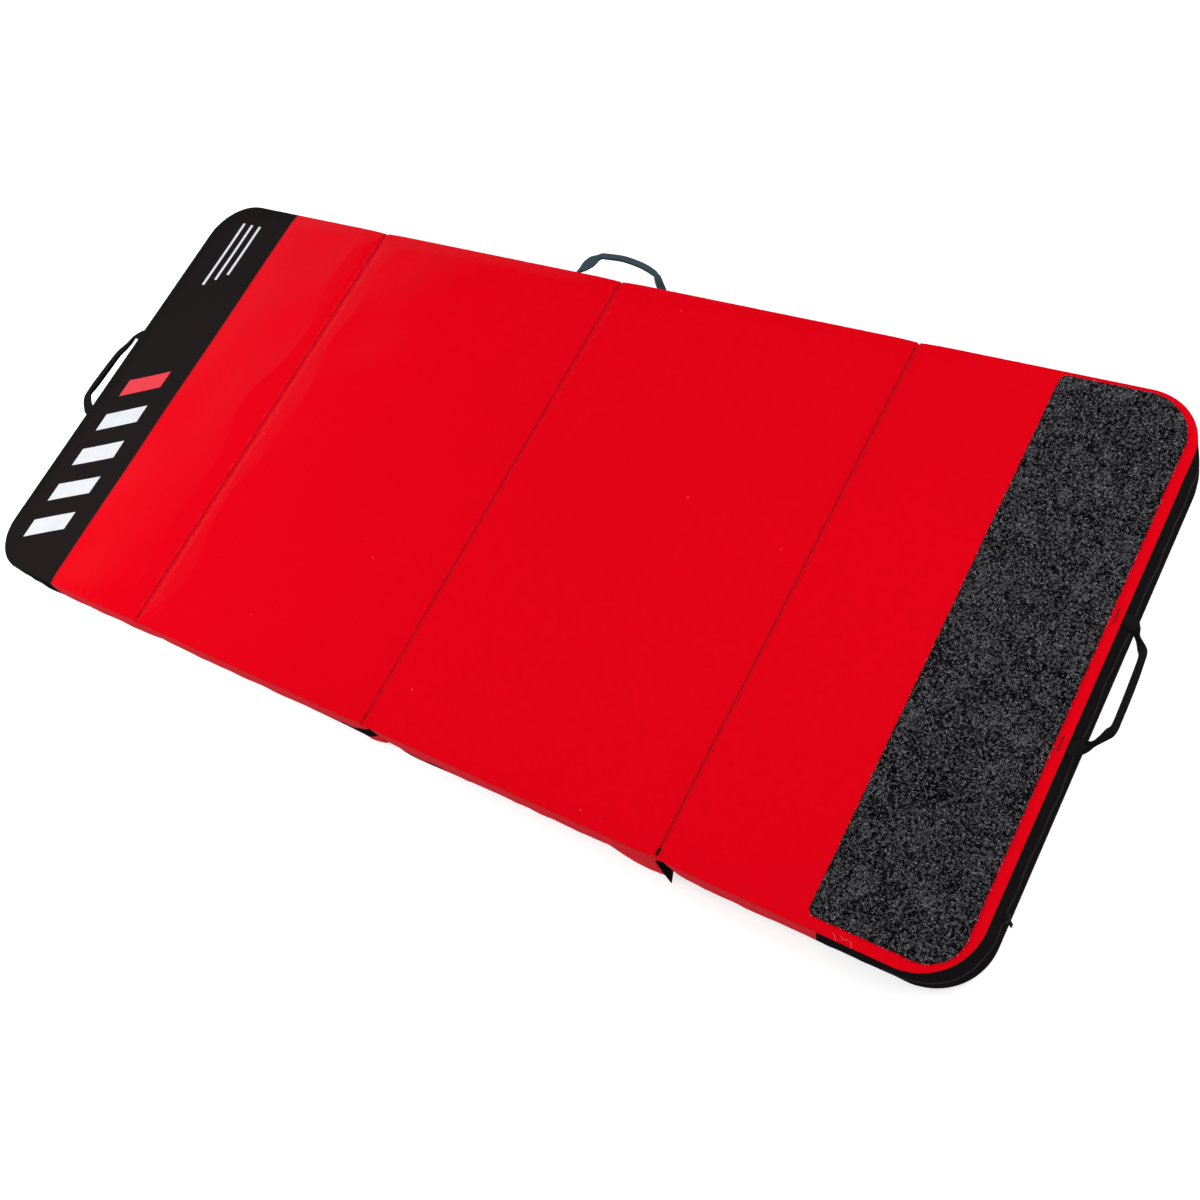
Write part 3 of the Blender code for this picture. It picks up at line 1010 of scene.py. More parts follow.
def carpet_inset(x, y):
    """Distance inside the carpet's outline, which has large corners only at the mat's end."""
    x = x - (CARPET_LOW.x + CARPET_HIGH.x) / 2
    y = y - (CARPET_LOW.y + CARPET_HIGH.y) / 2
    outer = np.where(y > 0, CARPET_FAR_RADIUS, CARPET_NEAR_RADIUS)
    radius = np.where(x < 0, CARPET_INNER_RADIUS, outer)
    size = CARPET_HIGH - CARPET_LOW
    return inset_in_box(x, y, size.x / 2, size.y / 2, radius)


def outward_from_carpet(places):
    """Headings that point out of the carpet's outline."""
    step = 0.001
    x, y = places.T
    slope_x = carpet_inset(x - step, y) - carpet_inset(x + step, y)
    slope_y = carpet_inset(x, y - step) - carpet_inset(x, y + step)
    return np.arctan2(slope_y, slope_x)


def pile_height(inset):
    return PILE * smooth_step(inset, -0.002, 0.0035)


def cover_under(places):
    """Height of the cover's top under each place of the carpet."""
    return np.array([top_at(4, x, y)[0].z for x, y in places])


def make_carpet_pile():
    """The felted body of the carpet: a lumpy sheet with soft edges, closed underneath."""
    xs = np.arange(CARPET_LOW.x, CARPET_HIGH.x + PILE_STEP / 2, PILE_STEP)
    ys = np.arange(CARPET_LOW.y, CARPET_HIGH.y + PILE_STEP / 2, PILE_STEP)
    flat = np.stack(np.meshgrid(xs, ys, indexing="ij"), axis=-1).reshape(-1, 2)
    inset = carpet_inset(*flat.T)
    random = np.random.default_rng(5)
    outward = outward_from_carpet(flat)
    beyond = np.clip(inset, -PILE_STEP, 0.0)[:, None]
    flat += beyond * np.column_stack([np.cos(outward), np.sin(outward)])
    lumps = ripples(flat, 0.0065, 91) + 0.7 * random.normal(size=len(flat))
    height = np.maximum(pile_height(inset) + 0.00042 * lumps, 0.0)
    jitter = random.uniform(-0.4, 0.4, (len(flat), 2)) * PILE_STEP
    points = np.column_stack([flat + jitter, cover_under(flat) + 0.0004 + height])
    quads = grid_faces(len(xs), len(ys))
    quads = quads[(inset > -0.7 * PILE_STEP)[quads].all(axis=1)]
    bm = bmesh.new()
    bm.from_mesh(mesh_from("carpet_sheet", points, quads.tolist()))
    loose = [v for v in bm.verts if not v.link_faces]
    bmesh.ops.delete(bm, geom=loose, context="VERTS")
    rim = [edge for edge in bm.edges if edge.is_boundary]
    for part in bmesh.ops.extrude_edge_only(bm, edges=rim)["geom"]:
        if isinstance(part, bmesh.types.BMVert):
            part.co.z -= 0.0012
    bottom = [edge for edge in bm.edges if edge.is_boundary]
    bmesh.ops.contextual_create(bm, geom=bottom)
    obj = closed_object("carpet_pile", mesh_of("carpet_pile", bm), "carpet_base")
    obj.data.shade_smooth()
    attach(obj, "panel_4", "charcoal_carpet", "carpet")


def fibre(place, heading, lean, curl, length):
    """Three centres along one bent fibre."""
    centres = [place]
    for _ in range(2):
        flat = math.cos(lean) * length / 2
        rise = math.sin(lean) * length / 2
        place = place + (flat * math.cos(heading), flat * math.sin(heading), rise)
        centres.append(place)
        heading += curl
        lean -= 0.5
    return centres


def make_fibres(shade, tufts, seed):
    """Tufts of loose pile fibre: bundles of thin bent spikes that lie in all directions."""
    random = np.random.default_rng(seed)
    corners = (CARPET_LOW.x, CARPET_LOW.y), (CARPET_HIGH.x, CARPET_HIGH.y)
    spread = random.uniform(*corners, (RIM_SEARCH, 2))
    inset = carpet_inset(*spread.T)
    rim = spread[np.abs(inset - RIM / 2) < RIM][: RIM_TUFTS[shade]]
    spread = np.vstack([spread[inset > 3 * RIM][:tufts], rim])
    inset = carpet_inset(*spread.T)
    at_rim = inset < 2 * RIM
    headings = random.uniform(0, TAU, len(spread))
    fanned = outward_from_carpet(spread) + random.uniform(-1.3, 1.3, len(spread))
    headings = np.where(at_rim, fanned, headings)
    leans = np.radians(random.uniform(4, 40, len(spread))) * np.where(at_rim, 0.3, 1.0)
    lengths = FIBRE_LENGTH * random.uniform(0.6, 1.2, len(spread)) * np.where(at_rim, 0.42, 1.0)
    ground = cover_under(spread) + pile_height(inset) - 0.0006
    up = np.array((0.0, 0.0, 1.0))
    vertices, faces = [], []
    for i, (x, y) in enumerate(spread):
        for _ in range(TUFT_FIBRES):
            spacing = TUFT_SPREAD * (3.0 if at_rim[i] else 1.0)
            shift = random.uniform(-spacing, spacing, 2) * (0.4 if at_rim[i] else 1.0)
            place = np.array((x + shift[0], y + shift[1], ground[i]))
            heading = headings[i] + random.uniform(-0.35, 0.35)
            length = lengths[i] * random.uniform(0.7, 1.1)
            centres = fibre(place, heading, leans[i], random.uniform(-0.9, 0.9), length)
            a, b, c, d, e, f, tip = range(len(vertices), len(vertices) + 7)
            side = np.array((-math.sin(heading), math.cos(heading), 0.0))
            for centre, size in zip(centres, (1.0, 0.85)):
                half = FIBRE_WIDTH / 2 * size
                vertices += [centre - side * half, centre + side * half, centre + up * half * 1.5]
            vertices.append(centres[2])
            faces += [(a, d, e, b), (b, e, f, c), (c, f, d, a)]
            faces += [(d, tip, e), (e, tip, f), (f, tip, d), (a, b, c)]
    name = f"carpet_fibres_{shade}"
    obj = new_object(name, mesh_from(name, vertices, faces), f"carpet_{shade}")
    attach(obj, "panel_4", "charcoal_carpet")


def make_lint():
    """A few pale hairs of carpet yarn, caught on the red border beside the carpet."""
    random = np.random.default_rng(77)
    x = CARPET_LOW.x + 0.040
    for k in range(LINT_HAIRS):
        x += random.uniform(-0.002, 0.008)
        y = (CARPET_LOW.y - HALF_WIDTH) / 2 + random.uniform(-0.004, 0.003)
        heading = random.uniform(-0.9, 0.9)
        stations = []
        for _ in range(7):
            place, normal = top_at(4, x, y)
            across = Vector((-math.sin(heading), math.cos(heading), 0))
            stations.append((place + normal * 0.0003, across, LINT_WIDTH, LINT_WIDTH))
            x += 0.0022 * math.cos(heading)
            y += 0.0018 * math.sin(heading)
            heading += random.uniform(-0.8, 0.8)
        hair = webbing(f"lint_hair_{k + 1}", stations, "carpet_light", 24)
        attach(hair, "panel_4", "charcoal_carpet")


# ---------------- webbing


SECTION = 20
SQUARENESS = 0.45
WEB_WIDTH = 0.025
STRAP_THICKNESS = 0.0020


def catmull(values, samples):
    """Smooth values through evenly numbered stations, as an array of samples rows."""
    values = np.asarray(values, float)
    padded = np.vstack([2 * values[0] - values[1], values, 2 * values[-1] - values[-2]])
    result = []
    last = len(values) - 1
    for t in np.linspace(0, last, samples):
        k = min(int(t), last - 1)
        u = t - k
        a, b, c, d = padded[k : k + 4]
        point = 2 * b + (c - a) * u + (2 * a - 5 * b + 4 * c - d) * u**2
        result.append((point + (3 * b - a - 3 * c + d) * u**3) / 2)
    return np.array(result)


def flat_oval(groove):
    """A strap's section as (across, up, plain cosine), each from -1 to 1, sunk along its middle."""
    section = []
    for k in range(SECTION):
        c, s = math.cos(TAU * k / SECTION), math.sin(TAU * k / SECTION)
        a = math.copysign(abs(c) ** SQUARENESS, c)
        b = math.copysign(abs(s) ** SQUARENESS, s)
        section.append((a, b - math.copysign(groove * bell(a, 0.22), s), c))
    return section


def webbing(name, stations, material, samples, groove=0.0):
    """A strap lofted through stations of (centre, across, width, thickness), with metre UVs."""
    smooth = catmull([(*centre, *across, *size) for centre, across, *size in stations], samples)
    centres, halves = smooth[:, :3], smooth[:, 6:] / 2
    tangents = np.gradient(centres, axis=0)
    tangents /= np.linalg.norm(tangents, axis=1, keepdims=True)
    lengths = np.cumsum(np.linalg.norm(np.diff(centres, axis=0, prepend=centres[:1]), axis=1))
    section = flat_oval(groove)
    vertices, metres = [], []
    for i in range(samples):
        across = smooth[i, 3:6] - tangents[i] * (smooth[i, 3:6] @ tangents[i])
        across /= np.linalg.norm(across)
        upright = np.cross(tangents[i], across)
        for a, b, c in section:
            offset = across * (a * halves[i, 0]) + upright * (b * halves[i, 1])
            vertices.append(centres[i] + offset)
            metres.append((lengths[i], c * halves[i, 0]))
    mesh = mesh_from(name, vertices, tube_faces(0, SECTION, samples))
    layer = mesh.uv_layers.new(name="metres")
    for loop in mesh.loops:
        layer.data[loop.index].uv = metres[loop.vertex_index]
    return closed_object(name, mesh, material, sharp_angle=60)


# Each handle from one foot to the other: distance along from the foot in mm, share of the reach,
# width and thickness in mm, and the twist in degrees where the strap is folded into a narrow grip
HANDLES = {
    "left": (
        (0, -0.05, 25.0, 2.2, 0),
        (1, 0.10, 24.5, 2.2, 0),
        (4, 0.29, 20.0, 3.0, 10),
        (11, 0.43, 13.0, 6.0, 15),
        (26, 0.49, 12.5, 7.0, 5),
        (40, 0.58, 16.5, 6.0, 0),
        (52, 0.71, 20.5, 5.0, 0),
        (64, 0.79, 18.5, 6.4, 0),
        (90, 0.84, 18.0, 8.0, 0),
        (120, 0.88, 18.5, 8.4, 0),
        (148, 0.92, 18.5, 8.4, 0),
        (163, 0.95, 16.0, 8.0, 0),
        (173, 0.96, 15.0, 7.0, 0),
        (182, 0.90, 19.5, 5.0, 0),
        (192, 0.70, 21.5, 3.6, 0),
        (202, 0.44, 22.5, 2.8, 0),
        (209, 0.20, 24.0, 2.4, 0),
        (212, 0.05, 25.0, 2.2, 0),
        (212, -0.05, 25.0, 2.2, 0),
    ),
    "right": (
        (0, -0.05, 25.0, 2.2, 0),
        (0, 0.08, 25.0, 2.2, 0),
        (4, 0.24, 23.5, 2.2, 10),
        (10, 0.44, 17.5, 2.8, 28),
        (17.5, 0.61, 9.5, 4.2, 50),
        (29, 0.77, 11.5, 4.0, 38),
        (41, 0.91, 15.0, 3.6, 15),
        (50, 0.985, 12.0, 5.5, 0),
        (65, 0.995, 11.2, 6.0, 0),
        (100, 0.985, 11.5, 6.0, 0),
        (135, 0.96, 11.5, 6.0, 0),
        (160, 0.93, 11.0, 5.8, 0),
        (171, 0.90, 12.0, 5.0, -8),
        (178, 0.83, 14.0, 4.2, -20),
        (186, 0.70, 11.5, 3.8, -38),
        (195, 0.54, 9.5, 4.2, -50),
        (204, 0.40, 17.0, 2.8, -28),
        (211, 0.23, 23.0, 2.2, -10),
        (214, 0.08, 25.0, 2.2, 0),
        (214, -0.05, 25.0, 2.2, 0),
    ),
    "middle": (
        (0, -0.05, 18.0, 2.8, 36),
        (2, 0.04, 17.5, 2.8, 36),
        (12, 0.25, 16.5, 3.0, 32),
        (22, 0.48, 14.0, 4.0, 22),
        (27, 0.57, 10.5, 5.6, 8),
        (34, 0.65, 12.0, 6.2, 0),
        (52, 0.78, 12.5, 6.6, 0),
        (76, 0.90, 12.5, 6.6, 0),
        (115, 1.00, 12.5, 6.6, 0),
        (152, 0.97, 12.5, 6.6, 0),
        (166, 0.94, 12.0, 6.4, 0),
        (173, 0.84, 16.5, 4.0, 8),
        (182, 0.66, 25.5, 2.4, 0),
        (190, 0.46, 25.5, 2.4, 0),
        (196, 0.27, 21.5, 3.4, 8),
        (201, 0.12, 12.0, 6.0, 20),
        (202, 0.03, 13.0, 6.0, 20),
        (202, -0.05, 15.0, 5.0, 20),
    ),
}
HANDLE_GROOVE = 0.12
MIDDLE_HANDLE_X = -0.0085
MIDDLE_HANDLE_RISE = math.radians(8)


def handle_stations(rows, place, outward, reach, droop):
    """Stations of a loop whose feet stand at either side of place, reaching along outward."""
    along = UP.cross(outward)
    out = (outward * math.cos(droop) - UP * math.sin(droop)).normalized()
    square = out.cross(along)
    half = rows[-1][0] / 2
    centres = [place + along * ((row[0] - half) / 1000) + out * (reach * row[1]) for row in rows]
    loop = []
    for i, (_, _, width, thick, twist) in enumerate(rows):
        before = centres[max(i - 1, 0)]
        after = centres[min(i + 1, len(rows) - 1)]
        tangent = (after - before).normalized()
        across = tangent.cross(square)
        across.rotate(Quaternion(tangent, math.radians(twist)))
        loop.append((centres[i], across, width / 1000, thick / 1000))
    return loop


def make_handles():
    for end, (side, _) in ENDS.items():
        node = f"handle_{end}"
        low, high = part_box(node)
        place = Vector(joint_place(f"{node}_swing"))
        reach = (high.x - place.x) if side > 0 else (place.x - low.x)
        droop = math.atan2(place.z - (low.z + high.z) / 2, reach) * 0.9
        stations = handle_stations(HANDLES[end], place, Vector((side, 0, 0)), reach - 0.006, droop)
        obj = webbing(f"{node}_loop", stations, "black_webbing", 160, HANDLE_GROOVE)
        attach(obj, node, "black_webbing", node)
    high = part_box("handle_middle")[1]
    place = Vector((MIDDLE_HANDLE_X, HALF_WIDTH + 0.001, high.z - 0.0045))
    reach = high.y - place.y - 0.004
    outward = Vector((0, 1, 0))
    stations = handle_stations(HANDLES["middle"], place, outward, reach, -MIDDLE_HANDLE_RISE)
    obj = webbing("handle_middle_loop", stations, "slate_webbing", 170, HANDLE_GROOVE)
    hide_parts("handle_middle")
    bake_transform(obj)


def make_bar_tacks():
    """Dense short stitch rows through the top border, where the handles' feet are caught."""
    for end, (side, panel) in ENDS.items():
        low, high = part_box(f"handle_{end}")
        x = side * (END_X - 0.011)
        for name, foot in (("near", low.y), ("far", high.y - WEB_WIDTH)):
            path = []
            for row in (x - 0.0006, x + 0.0006):
                path += line_on_top(panel, (row, foot), (row, foot + WEB_WIDTH), 0.0016)
            stitches(f"bar_tack_{end}_{name}", path, f"panel_{panel}", "black_thread", 0.0020, 0.0006)


BUNDLE_LAYERS = 4
BUNDLE_TURN = 0.004


def make_strap_bundle():
    """The stowed strap of fold 2: folded to and fro, with its turns showing at the near side."""
    low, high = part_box("strap_tail_2")
    middle_z = (low.z + high.z) / 2
    width = (high.z - low.z) * 0.92
    pitch = (high.x - low.x - STRAP_THICKNESS) / (BUNDLE_LAYERS - 1)
    places = []
    for layer in range(BUNDLE_LAYERS):
        x = low.x + STRAP_THICKNESS / 2 + layer * pitch
        mouth = low.y + 0.018 + 0.0025 * (layer % 3 == 1)
        ends = [high.y - BUNDLE_TURN, mouth + BUNDLE_TURN]
        if layer % 2:
            ends.reverse()
        places += [(x, y) for y in (ends[0], (ends[0] + ends[1]) / 2, ends[1])]
        if layer < BUNDLE_LAYERS - 1:
            places.append((x + pitch / 2, high.y if layer % 2 else mouth))
    stations = [(Vector((x, y, middle_z)), UP, width, STRAP_THICKNESS) for x, y in places]
    obj = webbing("strap_tail_2_web", stations, "black_webbing", 150)
    attach(obj, "panel_2", "black_webbing", "strap_tail_2")


def make_hanging_strap():
    """The strap end that hangs in fold 3's gap, turning a little and flaring out at its foot."""
    low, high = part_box("strap_tail_3")
    x = (low.x + high.x) / 2
    inner = high.y - WEB_WIDTH / 2
    outer = low.y + WEB_WIDTH / 2 + 0.005
    foot = low.z + 0.030
    stations = []
    for share, turn in ((0.0, 0), (0.3, 3), (0.6, 10), (0.82, 20), (1.0, 26)):
        y = inner + (outer - inner) * share**1.3
        centre = Vector((x + 0.003 * share**3, y, high.z + (foot - high.z) * share))
        turned = math.radians(turn)
        across = Vector((math.sin(turned), -math.cos(turned), -0.10 * share)).normalized()
        stations.append((centre, across, WEB_WIDTH * 0.95, STRAP_THICKNESS))
    obj = webbing("strap_tail_3_web", stations, "black_webbing", 48)
    attach(obj, "panel_3", "black_webbing", "strap_tail_3")


def make_strap_loop():
    """The bight of the hanging strap that shows on top, at the near end of fold 3's crease."""
    stations = []
    for along, rise in ((0.0, -0.0035), (0.003, 0.0004), (0.007, 0.0006), (0.010, -0.0035)):
        centre = Vector((FOLD_X[3] - 0.0006, -HALF_WIDTH + 0.009 + along, HEIGHT + rise))
        stations.append((centre, Vector((1, 0, 0)), 0.0034, STRAP_THICKNESS))
    obj = webbing("fold_3_strap_loop", stations, "black_webbing", 24)
    attach(obj, "panel_3", "black_webbing")


# ---------------- zips


TOOTH_PITCH = 0.0026
TOOTH = ((-1, -0.2), (-0.8, 0.7), (0.0, 1.0), (0.8, 0.7), (1, -0.2), (0.0, -0.5))
COIL_HALF = 0.0022
COIL_RISE = 0.0009


def end_path(side, panel, start_x, height, lift, step):
    """Places along the wall round one end, at a height, standing lift off the surface.

    Gives (place, direction, outward) from start_x on the near side round to the far side.
    """
    straight = END_X - CORNER_RADIUS - start_x
    arc = CORNER_RADIUS * math.pi / 2
    total = 2 * (straight + arc + HALF_WIDTH - CORNER_RADIUS)
    count = int(total / step)
    path = []
    for i in range(count + 1):
        s = total * i / count
        sign = NEAR if s <= total / 2 else FAR
        before_arc = straight - min(s, total - s)
        past_arc = -before_arc - arc
        turned = min(max(-before_arc, 0.0), arc) / CORNER_RADIUS
        x = END_X - CORNER_RADIUS * (1 - math.sin(turned)) - max(before_arc, 0.0)
        y = HALF_WIDTH - CORNER_RADIUS * (1 - math.cos(turned)) - max(past_arc, 0.0)
        outward = Vector((side * math.sin(turned), sign * math.cos(turned), 0))
        place = wall_at(panel, side * x, sign * y, height, outward)
        path.append([place + outward * lift, None, outward])
    for i, entry in enumerate(path):
        before, after = path[max(i - 1, 0)][0], path[min(i + 1, count)][0]
        entry[1] = (after - before).normalized()
    return path


def make_zip_tape(end, side, panel):
    """The two woven halves of the tape, each a thin strip on the wall."""
    half = (ZIP_HIGH.z - ZIP_LOW.z) / 2
    for name, way in (("upper", 1), ("lower", -1)):
        middle = ZIP_Z + way * (half / 2 + COIL_HALF / 2)
        path = end_path(side, panel, ZIP_LOW.x, middle, 0.0003, 0.012)
        stations = [(place, UP, half - COIL_HALF * 0.6, 0.0009) for place, _, _ in path]
        strip = webbing(f"zip_tape_{end}_{name}", stations, "black_webbing", 2 * len(path))
        attach(strip, f"panel_{panel}", "black_webbing")
        if name == "upper":
            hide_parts(f"zip_tape_{end}")


def make_zip_coil(end, side, panel):
    """The coil of teeth along the zip: one small rounded turn for each tooth."""
    vertices, faces = [], []
    path = end_path(side, panel, ZIP_LOW.x, ZIP_Z, 0.0006, TOOTH_PITCH)
    for i, (place, direction, outward) in enumerate(path):
        slant = 0.12 if i % 2 else -0.12
        faces += tube_faces(len(vertices), len(TOOTH), 2)
        for along in (-0.36, 0.36):
            for a, b in TOOTH:
                offset = direction * (TOOTH_PITCH * (along + slant * a))
                vertices.append(place + offset + UP * (a * COIL_HALF) + outward * (b * COIL_RISE))
    name = f"zip_coil_{end}"
    obj = closed_object(name, mesh_from(name, vertices, faces), "black_plastic")
    attach(obj, f"panel_{panel}", "black_plastic")


def make_slider(end, side):
    """Zip slider: a waisted body with a bridge on it, both with rounded edges."""
    node = f"zip_slider_{end}"
    low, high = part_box(node)
    size = high - low
    bm = bmesh.new()
    for v in bmesh.ops.create_cube(bm, size=1.0)["verts"]:
        waist = 0.72 if v.co.y > 0 else 1.0
        v.co = Vector((v.co.x * size.x * 0.55, v.co.y * size.y, v.co.z * size.z * waist))
        v.co.x -= side * size.x * 0.22
    for v in bmesh.ops.create_cube(bm, size=1.0)["verts"]:
        v.co = Vector((v.co.x * size.x * 0.5, v.co.y * size.y * 0.62, v.co.z * size.z * 0.3))
        v.co.x += side * size.x * 0.22
    obj = new_object(f"{node}_body", mesh_of(f"{node}_body", bm), "black_plastic")
    obj.location = (low + high) / 2
    bevel = obj.modifiers.new("round", "BEVEL")
    bevel.width = size.x * 0.16
    bevel.segments = 3
    apply_modifiers(obj)
    attach(obj, node, "black_plastic", node)


# The cord pull from the bridge down: share of its drop, width, thickness
PULL = ((0.0, 0.0052, 0.0016), (0.4, 0.0046, 0.0018), (0.55, 0.0058, 0.0026), (1.0, 0.0062, 0.0030))


def make_pull(end, side):
    """Cord pull: a loop of cord through the bridge, its ends moulded into a grip."""
    low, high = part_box(f"zip_pull_{end}")
    slider_low, slider_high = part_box(f"zip_slider_{end}")
    x = (low.x + high.x) / 2 + side * 0.0006
    y = (low.y + high.y) / 2
    top = (slider_low.z + slider_high.z) / 2
    rows = []
    for share, width, thick in PULL:
        centre = Vector((x, y, top - (top - low.z) * share))
        rows.append((centre, Vector((0, 1, 0)), width, thick))
    obj = webbing(f"zip_pull_{end}_cord", rows, "black_webbing", 30)
    attach(obj, f"zip_slider_{end}", "black_webbing", f"zip_pull_{end}")


# ---------------- band print and seams


BAR_COUNT = 4
BAR_LENGTH = 0.100
BAR_WIDTH = 0.044
BAR_PITCH = 0.094
BAR_SLANT = 0.5
FIRST_BAR_Y = -HALF_WIDTH + 0.115
LINE_COUNT = 3
LINE_WIDTH = 0.0075
LINE_PITCH = 0.026
LINE_SPAN = (0.265, 0.445)
LINE_STAGGER = 0.02
PRINT_STEPS = 14
PRINT_LIFT = 0.00025
PRINT_MIDDLE = (-END_X + BAND_X) / 2 + 0.004
STITCH_BELOW_SEAM = 0.0042


def printed_patch(name, corners, material):
    """A thin layer of ink over the band, filled between four plan corners."""
    a, b, c, d = (Vector(corner) for corner in corners)
    shares = [step / PRINT_STEPS for step in range(PRINT_STEPS + 1)]
    vertices = []
    for across in shares:
        for along in shares:
            flat = a.lerp(b, across).lerp(d.lerp(c, across), along)
            place, normal = top_at(1, flat.x, flat.y)
            vertices.append(place + normal * PRINT_LIFT)
    faces = grid_faces(PRINT_STEPS + 1, PRINT_STEPS + 1)
    obj = new_object(name, mesh_from(name, vertices, faces.tolist()), material)
    thicken(obj, PRINT_LIFT)
    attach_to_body(obj, "panel_1")


def print_bar(name, number, material):
    """A slanted bar across the band."""
    lean = BAR_SLANT * BAR_LENGTH / 2
    near = FIRST_BAR_Y + number * BAR_PITCH - BAR_WIDTH / 2
    far = near + BAR_WIDTH
    left, right = PRINT_MIDDLE - BAR_LENGTH / 2, PRINT_MIDDLE + BAR_LENGTH / 2
    corners = ((left, near - lean), (right, near + lean), (right, far + lean), (left, far - lean))
    printed_patch(name, corners, material)


def make_band_print():
    """A plain pattern of slanted bars and lines on the black band."""
    for k in range(BAR_COUNT):
        print_bar(f"band_bar_{k + 1}", k, "white_print")
    print_bar("band_bar_red", BAR_COUNT, "red_print")
    for k in range(LINE_COUNT):
        left = PRINT_MIDDLE - LINE_PITCH * (1.2 - k)
        right = left + LINE_WIDTH
        near, far = LINE_SPAN[0] + LINE_STAGGER * k, LINE_SPAN[1]
        corners = ((left, near), (right, near), (right, far), (left, far))
        printed_patch(f"band_line_{k + 1}", corners, "white_print")


def make_band_stitching():
    """Topstitching on the red side of the band's edge."""
    half = HALF_WIDTH - 0.006
    row = line_on_top(1, (BAND_X + 0.003, -half), (BAND_X + 0.003, half))
    stitches("band_edge_topstitch", row, "panel_1", "red_thread")


def straight_path(panel, sign, height):
    """Places along the straight wall of a middle panel, as end_path gives them."""
    left, right = TOP_SPAN[panel][0] + 0.008, TOP_SPAN[panel][1] - 0.008
    outward = Vector((0, sign, 0))
    count = int((right - left) / STITCH_PITCH)
    path = []
    for i in range(count + 1):
        x = left + (right - left) * i / count
        place = wall_at(panel, x, sign * HALF_WIDTH, height, outward)
        path.append((place, Vector((1, 0, 0)), outward))
    return path


def make_wall_stitching():
    """A row of stitches on the walls, just under the top seam."""
    height = HEIGHT - STITCH_BELOW_SEAM
    for side, panel in ENDS.values():
        fold, split = (1, -BAND_X) if side < 0 else (3, END_WALL_X)
        path = end_path(side, panel, abs(FOLD_X[fold]) + 0.010, height, 0.0, STITCH_PITCH)
        red = [entry for entry in path if abs(entry[0].x) < split - 0.004]
        black = [entry for entry in path if abs(entry[0].x) > split + 0.004]
        stitches(f"wall_topstitch_{panel}_red", red, f"panel_{panel}", "red_thread")
        stitches(f"wall_topstitch_{panel}_black", black, f"panel_{panel}", "black_thread")
    for panel in (2, 3):
        path = straight_path(panel, NEAR, height) + straight_path(panel, FAR, height)
        stitches(f"wall_topstitch_{panel}", path, f"panel_{panel}", "red_thread")


# ---------------- stage


CAMERA_PLACE = Vector((1.597, -0.776, 2.117))
CAMERA_AIM = Vector((0.2376, -0.0948, 0.0))
CAMERA_ROLL = math.radians(-39.02)
CAMERA_LENS = 42.88
CAMERA_SENSOR = 36.0
FLOOR_HALF = 30.0
FLOOR_CELLS = 24
FLOOR_DROP = 0.0005
FLOOR_GLOW = 0.32
FLOOR_SEEN = 0.62
SURROUND = 0.48
WHITE = rgb(1, 1, 1)


def place_looking(name, data, place, aim, roll=0.0):
    """Adds a camera or light at place that looks at aim."""
    obj = bpy.data.objects.new(name, data)
    bpy.context.scene.collection.objects.link(obj)
    obj.location = place
    obj.rotation_mode = "QUATERNION"
    look = (Vector(aim) - Vector(place)).to_track_quat("-Z", "Y")
    obj.rotation_quaternion = look @ Quaternion((0, 0, 1), roll)
    return obj


def make_camera():
    data = bpy.data.cameras.new("camera")
    data.lens = CAMERA_LENS
    data.sensor_width = CAMERA_SENSOR
    camera = place_looking("camera", data, CAMERA_PLACE, CAMERA_AIM, CAMERA_ROLL)
    bpy.context.scene.camera = camera


def area_light(name, place, aim, size, power):
    data = bpy.data.lights.new(name, "AREA")
    data.shape = "RECTANGLE"
    data.size, data.size_y = size
    data.energy = power
    place_looking(name, data, place, aim).visible_camera = False


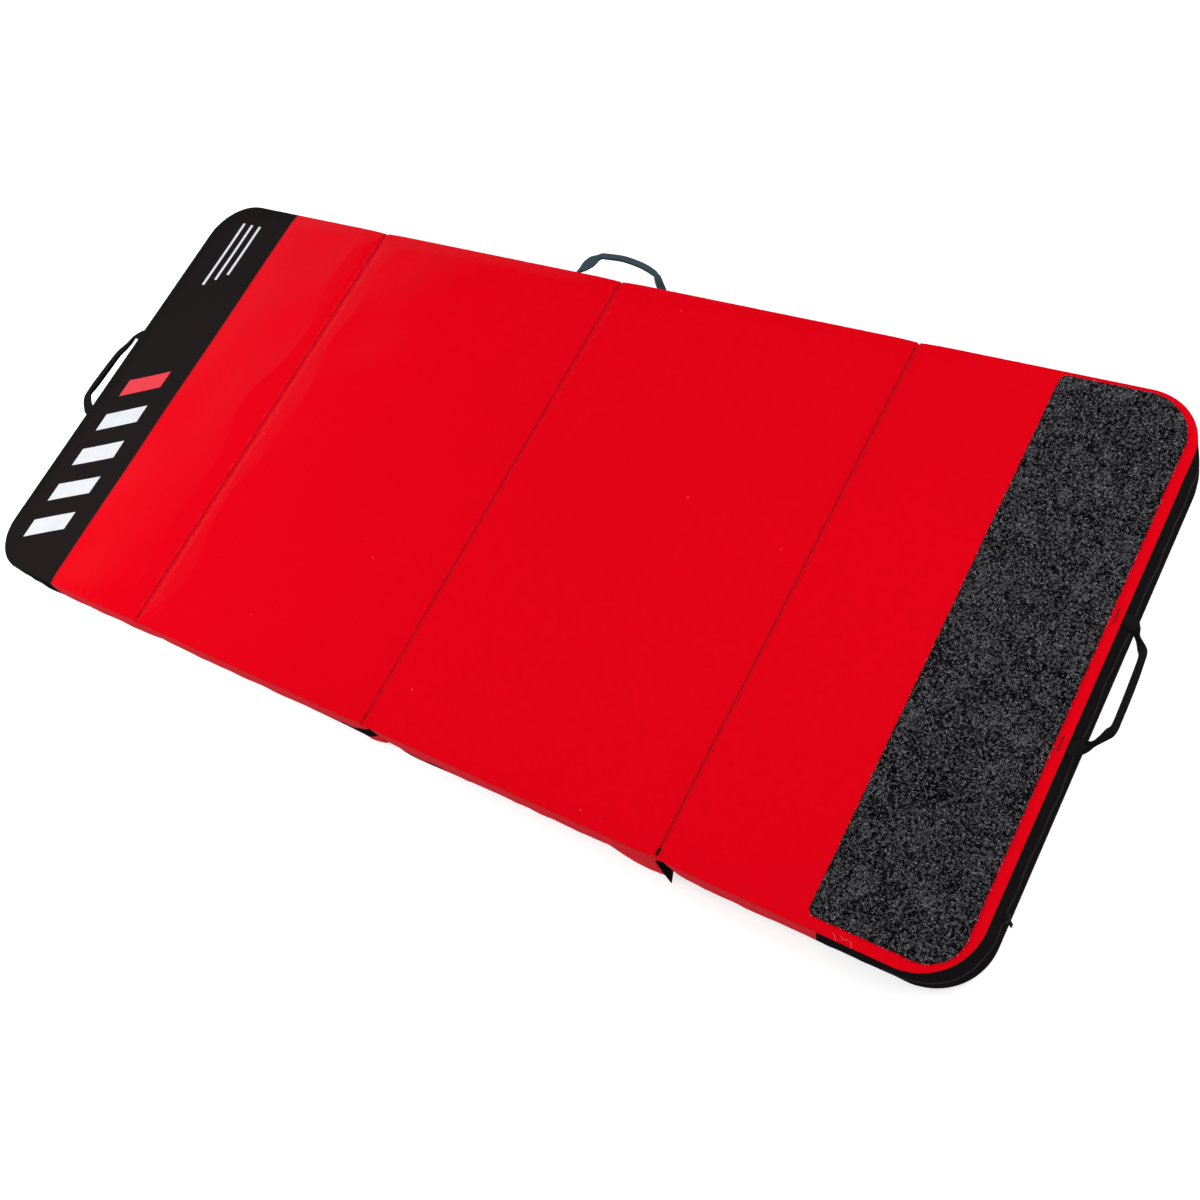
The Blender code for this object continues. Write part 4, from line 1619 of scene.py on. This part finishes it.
def make_floor():
    """A wide pale floor that glows a little, more where the camera sees it."""
    bm = bmesh.new()
    bmesh.ops.create_grid(bm, x_segments=FLOOR_CELLS, y_segments=FLOOR_CELLS, size=FLOOR_HALF)
    n = Nodes("pale_floor")
    tint = n.layered(rgb(0.74, 0.74, 0.74), (n.noise(2.0), rgb(0.76, 0.76, 0.76)))
    n.shade(Base_Color=tint, Roughness=0.9, Specular_IOR_Level=0.0)
    seen = n.add("LightPath").outputs["Is Camera Ray"]
    glow = n.plus(FLOOR_GLOW, n.times(seen, FLOOR_SEEN - FLOOR_GLOW))
    n.shade(Emission_Color=WHITE, Emission_Strength=glow)
    floor = new_object("floor", mesh_of("floor", bm), "pale_floor")
    floor.location.z = -FLOOR_DROP


def make_surround():
    """A white surround: full where the camera sees it, weaker as light."""
    world = bpy.data.worlds.new("white_surround")
    world.use_nodes = True
    nodes, links = world.node_tree.nodes, world.node_tree.links
    background = nodes["Background"]
    background.inputs["Color"].default_value = WHITE
    strength = nodes.new("ShaderNodeMapRange")
    strength.inputs["To Min"].default_value = SURROUND
    seen = nodes.new("ShaderNodeLightPath").outputs["Is Camera Ray"]
    links.new(seen, strength.inputs["Value"])
    links.new(strength.outputs[0], background.inputs["Strength"])
    bpy.context.scene.world = world


# ---------------- the whole mat


make_materials()
SURFACES = make_covers()
for fold_number in FOLDS:
    make_hinge(fold_number)
    make_fold_seam(fold_number)
    make_topstitching(fold_number)
make_carpet_pile()
for tuft_seed, (tuft_shade, tuft_count) in enumerate(TUFTS.items()):
    make_fibres(tuft_shade, tuft_count, tuft_seed)
make_lint()
make_handles()
make_bar_tacks()
make_strap_bundle()
make_hanging_strap()
make_strap_loop()
for end_name, (end_side, end_panel) in ENDS.items():
    make_zip_tape(end_name, end_side, end_panel)
    make_zip_coil(end_name, end_side, end_panel)
    make_slider(end_name, end_side)
    make_pull(end_name, end_side)
make_band_print()
make_band_stitching()
make_wall_stitching()
make_camera()
make_floor()
make_surround()
area_light("key", (-1.7, -0.6, 1.9), (-0.9, 0, 0), (1.6, 1.8), 34)
area_light("fill", (1.9, 0.5, 1.9), (0.95, 0, 0), (1.6, 1.8), 22)
bpy.context.scene.view_settings.view_transform = "Standard"
